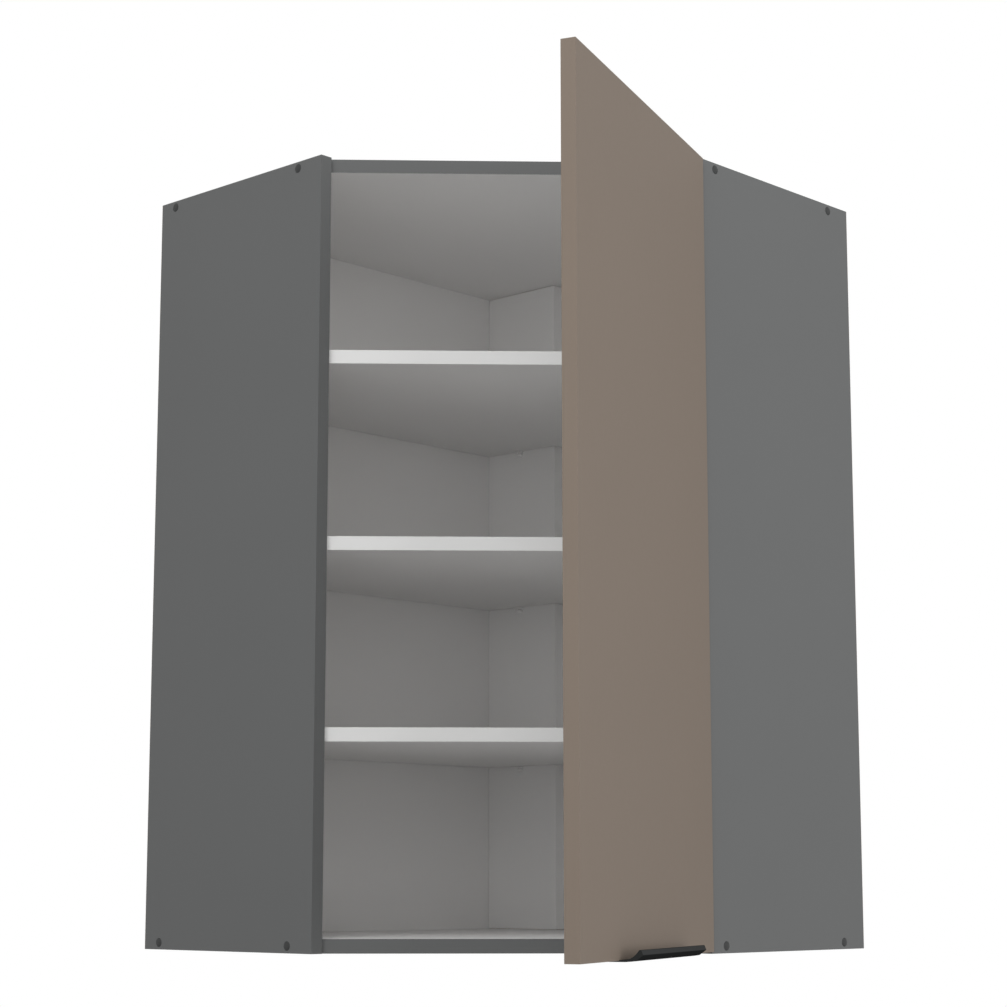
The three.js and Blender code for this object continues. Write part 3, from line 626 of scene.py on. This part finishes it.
# %% Write the diagonal cut
def cut_front(board, plane):
    """Cuts the board off along x - y = plane, in millimetres, and closes the cut."""
    edit(board, faces=every)
    bpy.ops.mesh.bisect(plane_co=(plane * MM, 0, 0), plane_no=(1, -1, 0), use_fill=True, clear_outer=True)
    leave_all()
    return board


def on_diagonal(at, facing):
    return facing.x > 0.6 and facing.y < -0.6


def at_wall(at, facing):
    return facing.x < -0.9 and at.x < 1 or facing.y > 0.9 and at.y > -1


# %% Model the top and the bottom
END_BOARD_FRONT = 862.54  # x - y on the diagonal edge
PAST = 0.2  # how far a cutter goes past the face that it opens


def end_board(name, underside, inner, groove_low):
    """The top or bottom board; inner is the z of its white face."""
    reach = INNER_FACE - FIT
    board = block(name, (0, -reach, underside), (reach, 0, underside + BOARD))
    round_edges(cut_front(board, END_BOARD_FRONT), 0.5)
    groove_high = groove_low + GROOVE_DEPTH + PAST
    near, far, end = GROOVE_NEAR, GROOVE_FAR, INNER_FACE + 8
    cut(board, block("groove", (near, -far, groove_low), (end, -near, groove_high)))
    cut(board, block("groove", (near, -end, groove_low), (far, -near - PAST, groove_high)))
    dress(
        board,
        (grey_melamine, None),
        (white_melamine, lambda at, facing: abs(at.z - inner) < 0.3),
        (grey_edging, on_diagonal),
        (raw_chipboard, at_wall),
    )
    return board


top_board = end_board("top_board_finished", HEIGHT - BOARD, HEIGHT - BOARD, HEIGHT - BOARD - PAST)
bottom_board = end_board("bottom_board_finished", 0, BOARD, BOARD - GROOVE_DEPTH)
hand_over(top_board, "carcass", ["top_board"])
hand_over(bottom_board, "carcass", ["bottom_board"])
report("end boards", top_board, bottom_board)

# %% Model one shelf and copy it
SHELF_FRONT = 858.3  # x - y on the diagonal edge
SHELF_PLAY = 1  # round the shelf's sides and back
POST_WIDTH = 122  # of the upright corner board
POST_SIDE, POST_FACE = GROOVE_FAR + POST_WIDTH, GROOVE_FAR + BOARD  # distances from the two walls
rear, reach = WALL_CAVITY + SHEET + SHELF_PLAY, INNER_FACE - SHELF_PLAY
shelf = cut_front(block("shelf_board_1", (rear, -reach, 0), (reach, -rear, BOARD)), SHELF_FRONT)
cut(shelf, block("notch", (10, -POST_FACE - SHELF_PLAY, -5), (POST_SIDE + SHELF_PLAY, -10, 20)))
round_edges(shelf, 0.7, 3, bent(0.3))
dress(shelf, (white_melamine, None), (white_edging, lambda at, facing: abs(facing.z) < 0.9))
for number, underside in enumerate(SHELVES, 1):
    board = copied(shelf, f"shelf_board_{number}_white", Matrix.Translation((0, 0, underside * MM)))
    hand_over(board, "carcass", [f"shelf_{number}"])
bpy.data.objects.remove(shelf)
report("shelf", board)

# %% [markdown]
# ## Back
# Thin hardboard sheets, white on the inside and brown behind, slide in the grooves 14 mm in front of each
# wall. That hollow is where the wall rails go, so each sheet has a window for its hook. The corner itself
# is covered by an upright board.

# %% Model the back sheets
SHEET_FACE = WALL_CAVITY + SHEET
SHEET_SIDE = INNER_FACE + GROOVE_DEPTH - FIT
SHEET_LOW, SHEET_HIGH = GROOVE_END + FIT, HEIGHT - GROOVE_END - FIT
WINDOW_START, WINDOW_STOP = 563.2, 582.2  # along the wall
WINDOW_LOW, WINDOW_HIGH = 839, 865
low, high = (WALL_CAVITY, -SHEET_FACE, SHEET_LOW), (SHEET_SIDE, -WALL_CAVITY, SHEET_HIGH)
right_sheet = block("right_back_board", low, high)
cut(right_sheet, block("window", (WINDOW_START, -20, WINDOW_LOW), (WINDOW_STOP, -10, WINDOW_HIGH)))
low, high = (WALL_CAVITY, -SHEET_SIDE, SHEET_LOW), (SHEET_FACE, -GROOVE_FAR, SHEET_HIGH)
left_sheet = block("left_back_board", low, high)
cut(left_sheet, block("window", (10, -WINDOW_STOP, WINDOW_LOW), (20, -WINDOW_START, WINDOW_HIGH)))


def towards_room(at, facing):
    """The white face of the right or of the left sheet."""
    on_right = facing.y < -0.7 and at.x > SHEET_FACE
    on_left = facing.x > 0.7 and at.y < 0.1 - GROOVE_FAR and at.x < SHEET_FACE + 1
    return on_right or on_left


for sheet in (right_sheet, left_sheet):
    round_edges(sheet, 0.2, 1, bent(0.3))
    dress(sheet, (hardboard, None), (white_melamine, towards_room))
hand_over(right_sheet, "carcass", ["right_back_sheet"])
hand_over(left_sheet, "carcass", ["left_back_sheet"])
report("back sheets", right_sheet, left_sheet)

# %% Model the corner board
POST_MIDDLE = GROOVE_FAR + POST_WIDTH / 2
POST_HOLE_DEPTH = 9
corner_post = block(
    "corner_upright", (GROOVE_FAR, -POST_FACE, BOARD + FIT), (POST_SIDE, -GROOVE_FAR, HEIGHT - BOARD - FIT)
)
round_edges(corner_post, 0.6)
spots = [(POST_MIDDLE, -POST_FACE, underside - PIN_DROP) for underside in SHELVES]
cut(corner_post, *[rod("hole", spot, PIN_RADIUS, POST_HOLE_DEPTH * 2, "Y", 16) for spot in spots])


def at_post_end(at, facing):
    return abs(facing.z) > 0.9 and not BOARD + 1 < at.z < HEIGHT - BOARD - 1


dress(corner_post, (white_melamine, None), (raw_chipboard, at_post_end))
hand_over(corner_post, "carcass", ["corner_strip"])
report("corner board", corner_post)

# %% [markdown]
# ## Shelf supports
# Five little supports carry each shelf. In the side panels they are zinc plated: a pin, a collar against
# the panel, and a flat seat under the shelf with a gusset below. One is modelled against the right-hand
# panel and mirrored for the left. A white moulded one stands in the corner board.

# %% Write a helper that rounds the ends of a pin
def pin_along(centre, length, sides, rounding):
    """A pin of the holes' radius along X, with rounded ends."""
    far = length / 2 - 0.5  # only the edges round its ends are further out
    pin = rod("pin", (centre, 0, 0), PIN_RADIUS, length, "X", sides)
    return round_edges(pin, rounding, 2, lambda edge: abs(middle(edge).x - centre) > far)


# %% Model one support and copy it
SEAT_TIP, SEAT_HALF, SEAT_TOP = INNER_FACE - 10, 4, 4.7
GUSSET_TIP, GUSSET_ROOT, GUSSET_HALF, GUSSET_LOW = INNER_FACE - 9, INNER_FACE - 1, 0.9, -2
pin = pin_along(INNER_FACE + 2.6, length=11.8, sides=20, rounding=0.5)
collar = rod("collar", (INNER_FACE - 0.8, 0, 0), radius=4.0, length=1.4, axis="X", sides=28)
round_edges(collar, 0.35, 2, bent(1))
seat = block("seat", (SEAT_TIP, -SEAT_HALF, SEAT_TOP - 1.5), (INNER_FACE, SEAT_HALF, SEAT_TOP))
round_edges(seat, 0.5, 2, lambda edge: middle(edge).x < INNER_FACE - 1)
gusset = block("gusset", (GUSSET_TIP, -GUSSET_HALF, GUSSET_LOW), (GUSSET_ROOT, GUSSET_HALF, 3.4))
edit(gusset, faces=lambda face: face.normal.z < -0.9)
bpy.ops.transform.resize(value=(0.3, 1, 1), center_override=(GUSSET_ROOT * MM, 0, GUSSET_LOW * MM))
leave_all()
round_edges(gusset, 0.3, 2)
support = joined("support", seat, gusset, collar, pin)
support.data.materials.append(zinc)
for number, underside in enumerate(SHELVES, 1):
    height = Matrix.Translation((0, 0, (underside - PIN_DROP) * MM))
    spots = {}
    for label, y in zip(("rear", "front"), PIN_ROWS):
        spots[f"right_{label}"] = height @ Matrix.Translation((0, y * MM, 0))
        spots[f"left_{label}"] = MIRROR @ spots[f"right_{label}"]
    for label, placement in spots.items():
        made = copied(support, f"shelf_{number}_support_{label}", placement)
        hand_over(made, "carcass", [f"shelf_{number}_pin_{label}"])
bpy.data.objects.remove(support)
report("supports", made)

# %% Model the corner support and copy it
# Moulded in white, it hardly shows: a peg under a small flat seat.
peg = pin_along(INNER_FACE - 0.5, length=18, sides=24, rounding=0.6)
seat = block("seat", (SEAT_TIP, -SEAT_HALF, SEAT_TOP - 2.5), (INNER_FACE - FIT, SEAT_HALF, SEAT_TOP))
corner_support = joined("corner_support", peg, round_edges(seat, 0.6, 2))
corner_support.data.materials.append(white_melamine)
to_post = Matrix.Translation((POST_MIDDLE * MM, -POST_FACE * MM, 0))
turn_to_post = to_post @ Matrix.Rotation(math.pi / 2, 4, "Z") @ Matrix.Translation((-INNER_FACE * MM, 0, 0))
for number, underside in enumerate(SHELVES, 1):
    height = Matrix.Translation((0, 0, (underside - PIN_DROP) * MM))
    made = copied(corner_support, f"shelf_{number}_support_corner", height @ turn_to_post)
    hand_over(made, "carcass", [f"shelf_{number}_pin_corner"])
bpy.data.objects.remove(corner_support)
report("corner support", made)

# %% [markdown]
# ## Door
# The door is a 16 mm board, lacquered in taupe on its front and its edges and white behind, with its
# edges eased so that the lacquer holds on them. It is modelled in its own frame: X runs along it from the
# hinge edge, Y out of its front and Z up. One matrix then carries it and all that is fixed to it to where
# it stands open.

# %% Place the door's own frame
TURNING_CENTRE = Vector((WALL_RUN - 7, 5 - SIDE_DEPTH, 0)) * MM  # near the right panel's front edge
CLOSED_CORNER = Vector((589.292, -298.708, 0)) * MM  # the front of the closed door, at its hinge edge
CLOSED_HEADING = 225  # degrees, the way the closed door runs from its hinge edge
OPEN_ANGLE = 65.6  # degrees
OPEN_TURN = Matrix.Rotation(math.radians(OPEN_ANGLE), 4, "Z")
corner = TURNING_CENTRE + OPEN_TURN @ (CLOSED_CORNER - TURNING_CENTRE)
DOOR = Matrix.Translation(corner) @ Matrix.Rotation(math.radians(CLOSED_HEADING + OPEN_ANGLE), 4, "Z")
DOOR_WIDTH = 410.95
DOOR_GAP = 2  # below the door and above it
HINGE_HEIGHTS = {"lower": 100, "upper": 800}
print("door corner at", [round(n / MM, 2) for n in corner])

# %% Model the door
CUP_FROM_EDGE, CUP_RADIUS, CUP_DEPTH = 22.5, 17.5, 11.8  # of the bores for the hinges' cups
leaf = round_edges(block("leaf", (0, -BOARD, DOOR_GAP), (DOOR_WIDTH, 0, HEIGHT - DOOR_GAP)), 0.3, 2)
spots = [(CUP_FROM_EDGE, -BOARD, z) for z in HINGE_HEIGHTS.values()]
cut(leaf, *[rod("cup_bore", spot, CUP_RADIUS, CUP_DEPTH * 2, "Y", 48) for spot in spots])


def on_door_back(at, facing):
    return facing.y < -0.99 and at.y + BOARD < 0.01


def in_cup_bore(at, facing):
    above = min(abs(at.z - z) for z in HINGE_HEIGHTS.values())
    return 0.1 < at.y + BOARD < CUP_DEPTH + 0.3 and max(abs(at.x - CUP_FROM_EDGE), above) < CUP_RADIUS + 0.5


dress(leaf, (taupe_lacquer, None), (white_melamine, on_door_back), (raw_chipboard, in_cup_bore))
door_leaf = copied(leaf, "door_leaf", DOOR)
bpy.data.objects.remove(leaf)
hand_over(door_leaf, "door", ["door"])
report("door", door_leaf)

# %% [markdown]
# ## Handle
# The handle is one strip of sheet metal folded lengthwise and powder coated black. Its base is screwed
# under the door, its front runs out and turns up into a lip, and a finger goes behind the lip. The lip's
# upward front face has a paler coat of its own, a painted sheen in place of a glossy highlight. A strip
# like this is drawn as a section and extruded: a circle gives a ring of as many points as the section
# has, each point is moved to its place, and the face is pulled along the door.

# %% Write the helper that draws a section
def ring(name, outline, low, filled):
    """A ring with the outline's points, given as (y, z) at x = low, in millimetres."""
    leave_all()
    bpy.ops.mesh.primitive_circle_add(vertices=len(outline), fill_type="NGON" if filled else "NOTHING")
    piece = bpy.context.object
    for point, (y, z) in zip(piece.data.vertices, outline):
        point.co = Vector((low, y, z)) * MM
    piece.name = name
    return piece


def pulled(name, outline, low, high):
    """The outline as a bar along X."""
    piece = ring(name, outline, low, True)
    edit(piece, faces=every)
    bpy.ops.mesh.extrude_region_move(TRANSFORM_OT_translate={"value": ((high - low) * MM, 0, 0)})
    bpy.ops.mesh.select_all(action="SELECT")
    bpy.ops.mesh.normals_make_consistent(inside=False)
    leave_all()
    return piece


# %% Fold the handle
def lip_curve(steps):
    """The back of the lip, a bend from its top down to the flat base."""
    top, pull, foot = Vector((20.6, 12.4)), Vector((14.08, 2.23)), Vector((3.0, 2.8))
    shares = [step / steps for step in range(steps + 1)]
    return [tuple((1 - t) ** 2 * top + 2 * t * (1 - t) * pull + t * t * foot) for t in shares]


def long_way(edge):
    """Whether the edge runs along the strip, and not round one of its ends."""
    return abs(edge.verts[0].co.x - edge.verts[1].co.x) > 0.1


# The lip's upward front face, which takes the paler coat of painted sheen.
def on_lip_sheen_face(at, facing):
    return facing.y > 0.75 and facing.z > 0.1 and at.y > LIP_START


HANDLE_START, HANDLE_STOP = 105.5, 305.5  # along the door
HANDLE_UNDERSIDE, BASE_BACK = 0.9, -15.6
LIP_START = 22  # what is further out than this is the lip
UNDER = [(BASE_BACK, HANDLE_UNDERSIDE), (6.175, HANDLE_UNDERSIDE), (12.0, 1.3), (17.04, 2.05)]
LIP = [(24.7, 7.6), (22.9, 11.9), (22.4, 12.4), *lip_curve(10)]
BASE = [(0.3, 2.8), (0.3, 1.7), (BASE_BACK, 1.7)]
fold = pulled("strip", UNDER + LIP + BASE, HANDLE_START, HANDLE_STOP)
round_edges(fold, 0.5, 3, lambda edge: long_way(edge) and middle(edge).y > LIP_START)
round_edges(fold, 0.18, 2, lambda edge: edge.calc_face_angle(0) > 1.2 and not long_way(edge))
# The black coat, with a painted sheen on the lip's upward front face.
dress(fold, (black_powder, None), (lip_sheen_painted_powder, on_lip_sheen_face))
door_handle = copied(fold, "folded_strip_handle", DOOR)
bpy.data.objects.remove(fold)
hand_over(door_handle, "door", ["handle"], 30)
report("handle", door_handle)

# %% [markdown]
# ## Turned parts
# Screw caps, bumpers and screw heads are round, so each is drawn as half of its outline and spun about
# its axis. The seam's doubled points are merged before the normals are turned out.

# %% Write the helper that spins an outline
def turned(name, outline, sides=32):
    """A round solid standing on the origin; outline holds (radius, height) from the axis back to it."""
    piece = ring(name, outline, 0, False)
    edit(piece, edges=lambda edge: max(abs(v.co.y) for v in edge.verts) < 1e-7)
    bpy.ops.mesh.delete(type="EDGE")
    bpy.ops.mesh.select_all(action="SELECT")
    bpy.ops.mesh.spin(steps=sides, angle=2 * math.pi, center=(0, 0, 0), axis=(0, 0, 1))
    bpy.ops.mesh.select_all(action="SELECT")
    bpy.ops.mesh.remove_doubles(threshold=1e-6)
    bpy.ops.mesh.normals_make_consistent(inside=False)
    leave_all()
    return piece


def dome(radius, rim, top, steps):
    """A shallow dome's outline, a quarter of an ellipse from its rim up to the axis."""
    turns = [math.pi / 2 * step / steps for step in range(steps)]
    return [(radius * math.cos(turn), rim + (top - rim) * math.sin(turn)) for turn in turns] + [(0, top)]


def at_place(x, y, z, facing):
    """Carries a part that stands on the origin to a place in millimetres, facing one way."""
    axis, angle = {"+X": ("Y", 90), "-X": ("Y", -90), "-Y": ("X", 90), "-Z": ("X", 180)}[facing]
    return Matrix.Translation(Vector((x, y, z)) * MM) @ Matrix.Rotation(math.radians(angle), 4, axis)


# %% Turn the screw caps
# A cap is pushed into the board's pocket, and only its shallow dome stands out.
cap = turned("cap", [(0, 0), (4.75, 0), (5.0, 0.2), *dome(5.0, 1.3, 2.45, 6)])
cap.data.materials.append(cap_plastic)
for side, places in CAP_PLACES.items():
    for depth, y in zip(("rear", "front"), places):
        for level, z in END_LEVELS.items():
            on_right = at_place(POCKET_FLOOR + 0.2, y, z, "+X")
            placement = MIRROR @ on_right if side == "left" else on_right
            made = copied(cap, f"{side}_{level}_{depth}_screw_cap", placement)
            hand_over(made, "carcass", [f"{side}_cap_{level}_{depth}"])
bpy.data.objects.remove(cap)
report("cap", made)

# %% Turn the door bumpers
# A clear soft dot in each free corner of the door's back lets it close quietly.
dot = turned("dot", [(0, 0), (3.9, 0), *dome(4.0, 0.12, 1.4, 5)], 28)
dot.data.materials.append(rubber)
for level, z in END_LEVELS.items():
    made = copied(dot, f"{level}_corner_bumper", DOOR @ at_place(DOOR_WIDTH - 16, -BOARD - FIT, z, "-Y"))
    hand_over(made, "door", [f"{level}_door_bumper"])
bpy.data.objects.remove(dot)
report("bumper", made)

# %% Turn one screw head and sink its cross
head = turned("head", [(0, 0), (2.9, 0), *dome(3.0, 0.15, 1.05, 4)], 24)
CROSS_HALF, BAR_HALF, CROSS_FLOOR = 1.6, 0.3, 0.35
for x, y in ((CROSS_HALF, BAR_HALF), (BAR_HALF, CROSS_HALF)):
    cut(head, block("bar", (-x, -y, CROSS_FLOOR), (x, y, 2)))
head.data.materials.append(zinc)
report("screw head", head)


def screwed(name, body, placement, size=1.0):
    """One of these screw heads on a body."""
    made = copied(head, name, placement @ Matrix.Scale(size, 4))
    return hand_over(made, body, None, 30)


for number, along in enumerate((HANDLE_START + 28, HANDLE_STOP - 28), 1):
    screwed(f"handle_screw_{number}", "door", DOOR @ at_place(along, -6, HANDLE_UNDERSIDE, "-Z"), 0.8)

# %% [markdown]
# ## Hinges
# Two concealed hinges carry the door. A cup sits in a bore in the door's back, an arm sits on a plate on
# the panel, and two links between them carry the door out and round. These are pressed and plated parts
# whose working shapes are exact in the CAD model, so each is a copy of that mesh: merged, with its flat
# faces made whole again and its edges broken by a small bevel. The upper hinge is made, and the lower one
# is its copy 700 mm below.

# %% Write the helper that takes a shape from the CAD model
def from_cad(node, name, width, *cutters):
    piece = bpy.data.objects.new(name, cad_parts[node].data.copy())
    bpy.context.scene.collection.objects.link(piece)
    piece.data.materials.clear()
    edit(piece, faces=every)
    bpy.ops.mesh.remove_doubles(threshold=1e-6)
    bpy.ops.mesh.dissolve_limited(angle_limit=math.radians(2))
    leave_all()
    for cutter in cutters:
        cut(piece, cutter)
    return round_edges(piece, width, 2, lambda edge: stands_out(edge, 0.9))


# %% Write a helper that cuts a slot
ARM_WEB, PUNCH = 567, 8  # x of the arm's web, and the length of what cuts through it


def slot_hole(y, z, half, radius):
    """A slot with round ends through the arm's web."""
    ends = [rod("end", (ARM_WEB, y + side * half, z), radius, PUNCH, "X", 20) for side in (-1, 1)]
    low, high = (ARM_WEB - PUNCH / 2, y - half, z - radius), (ARM_WEB + PUNCH / 2, y + half, z + radius)
    return [block("slot", low, high), *ends]


# %% Make both hinges
DEPTH_SCREW, SIDE_SCREW = -241, -260  # y of the two adjusting screws
HINGE_BODIES = {
    "plate": "carcass",
    "arm": "carcass",
    "outer_link": "{}_outer_link",
    "inner_link": "{}_inner_link",
    "cup": "door",
}
upper = HINGE_HEIGHTS["upper"]
round_opening = rod("opening", (ARM_WEB, SIDE_SCREW, upper), 3.4, PUNCH, "X", 24)
openings = {"arm": [*slot_hole(DEPTH_SCREW, upper, half=3.2, radius=2.1), round_opening]}
drop = Matrix.Translation((0, 0, (HINGE_HEIGHTS["lower"] - upper) * MM))
for part, body in HINGE_BODIES.items():
    made = from_cad(f"upper_hinge_{part}", f"upper_{part}_plated", 0.22, *openings.get(part, []))
    made.data.materials.append(nickel)
    twin = copied(made, f"lower_{part}_plated", drop)
    for level, piece in (("upper", made), ("lower", twin)):
        hand_over(piece, body.format(level), [f"{level}_hinge_{part}"], 30)
    report(part, made)

# %% Drive the hinge screws
# For the plate's and for the cup's screws: the face they sit on, their place along it, half their spacing.
PLATE_FACE, PLATE_SCREW, PLATE_HALF_SPACING = INNER_FACE - 2.7, 37 - SIDE_DEPTH, 16
EAR_FACE, EAR_SCREW, EAR_HALF_SPACING = -BOARD - 1.4, CUP_FROM_EDGE + 9.5, 24
for level, z in HINGE_HEIGHTS.items():
    for place, step in (("bottom", -1), ("top", 1)):
        on_plate = at_place(PLATE_FACE, PLATE_SCREW, z + step * PLATE_HALF_SPACING, "-X")
        on_ear = at_place(EAR_SCREW, EAR_FACE, z + step * EAR_HALF_SPACING, "-Y")
        screwed(f"{level}_plate_screw_{place}", "carcass", on_plate)
        screwed(f"{level}_cup_screw_{place}", "door", DOOR @ on_ear)
    for kind, y, size in (("depth", DEPTH_SCREW, 0.95), ("side", SIDE_SCREW, 1.05)):
        screwed(f"{level}_{kind}_screw", "carcass", at_place(ARM_WEB - 0.4, y, z, "-X"), size)
print("screwed both hinges at heights", *HINGE_HEIGHTS.values())

# %% [markdown]
# ## Wall hangers
# Under the top board, against each side, sits a white moulded body with a plated steel hook that reaches
# through the back and hooks over a rail on the wall. Two screws in its face lift the cabinet and draw it
# to the wall. Body and hook are modelled once and mirrored for the other wall.

# %% Model the hanger's body
HANGER_THICKNESS, HANGER_LENGTH, HANGER_HEIGHT = 18, 60, 42
HANGER_TOP = HEIGHT - BOARD - 8  # clear of the top board
HANGER_MIDDLE = HANGER_TOP - HANGER_HEIGHT / 2
HANGER_FACE = INNER_FACE - FIT - HANGER_THICKNESS
HANGER_SCREWS = (-64, -46)  # y of the two screws in its face
SEAT_RADIUS, SEAT_DEPTH = 4.6, 3.5  # of the hollows that their heads sit in
STRAP_START, STRAP_STOP = 568.2, 577.2  # the hook's strap, across
STRAP_LOW, STRAP_HIGH = 857, 860
low = (HANGER_FACE, -GROOVE_FAR - HANGER_LENGTH, HANGER_TOP - HANGER_HEIGHT)
hanger = block("hanger", low, (INNER_FACE - FIT, -GROOVE_FAR, HANGER_TOP))
edit(hanger, faces=lambda face: face.normal.x < -0.9)
bpy.ops.mesh.inset(thickness=2.4 * MM, depth=0)
bpy.ops.transform.translate(value=(0.9 * MM, 0, 0))
leave_all()
round_edges(hanger, 0.6, 3, lambda edge: stands_out(edge, 0.6) and middle(edge).x < INNER_FACE - 1)
spots = [(HANGER_FACE, y, HANGER_MIDDLE) for y in HANGER_SCREWS]
seats = [rod("seat", spot, SEAT_RADIUS, SEAT_DEPTH * 2, "X", 32) for spot in spots]
slot_low, slot_high = (STRAP_START - FIT, -57.6, STRAP_LOW - FIT), (STRAP_STOP + FIT, -10, STRAP_HIGH + FIT)
cut(hanger, block("hook_slot", slot_low, slot_high))
for seat in seats:
    cut(hanger, seat)
hanger.data.materials.append(white_plastic)
on_both_walls(hanger, "hanger_moulding", "carcass", "hanger_body")
for number, y in enumerate(HANGER_SCREWS, 1):
    on_right = at_place(HANGER_FACE + SEAT_DEPTH, y, HANGER_MIDDLE, "-X")
    for side, placement in (("right", on_right), ("left", MIRROR @ on_right)):
        screwed(f"{side}_hanger_screw_{number}", "carcass", placement, 1.3)
report("hanger", hanger)

# %% Model the hanger's hook
# The strap is a thin bar, and its end is extruded down into the hook, as the sheet is folded.
STRAP_REAR, STRAP_FRONT = -51.3, -6
STRAP_THICKNESS = STRAP_HIGH - STRAP_LOW
HOOK_DROP = 13  # below the strap
hook = block("hook", (STRAP_START, STRAP_REAR, STRAP_LOW), (STRAP_STOP, STRAP_FRONT, STRAP_HIGH))
edit(hook, faces=lambda face: face.normal.y > 0.9)
bpy.ops.mesh.extrude_region_move(TRANSFORM_OT_translate={"value": (0, STRAP_THICKNESS * MM, 0)})
leave_all()
edit(hook, faces=lambda face: face.normal.z < -0.9 and face.calc_center_median().y > STRAP_FRONT * MM)
bpy.ops.mesh.extrude_region_move(TRANSFORM_OT_translate={"value": (0, 0, -HOOK_DROP * MM)})
leave_all()
round_edges(hook, 1.2, 3, lambda edge: middle(edge).y > -3.2 and middle(edge).z > STRAP_HIGH - 0.2)
round_edges(hook, 0.25, 2, lambda edge: stands_out(edge, 1.2))
hook.data.materials.append(zinc)
on_both_walls(hook, "hook_strap", "{}_hook", "hanger_hook")
bpy.data.objects.remove(head)
report("hook", hook)

# %% [markdown]
# ## Carcass screws
# The eight long screws that hold the boards together are hidden under their caps. Their CAD shape is
# right as it is, so those nodes stay and only get the zinc finish.

# %% Finish the hidden screws
for name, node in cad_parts.items():
    if "_screw_" in name:
        node.data.materials.clear()
        node.data.materials.append(zinc)
print("hidden screws:", sum("_screw_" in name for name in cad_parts))
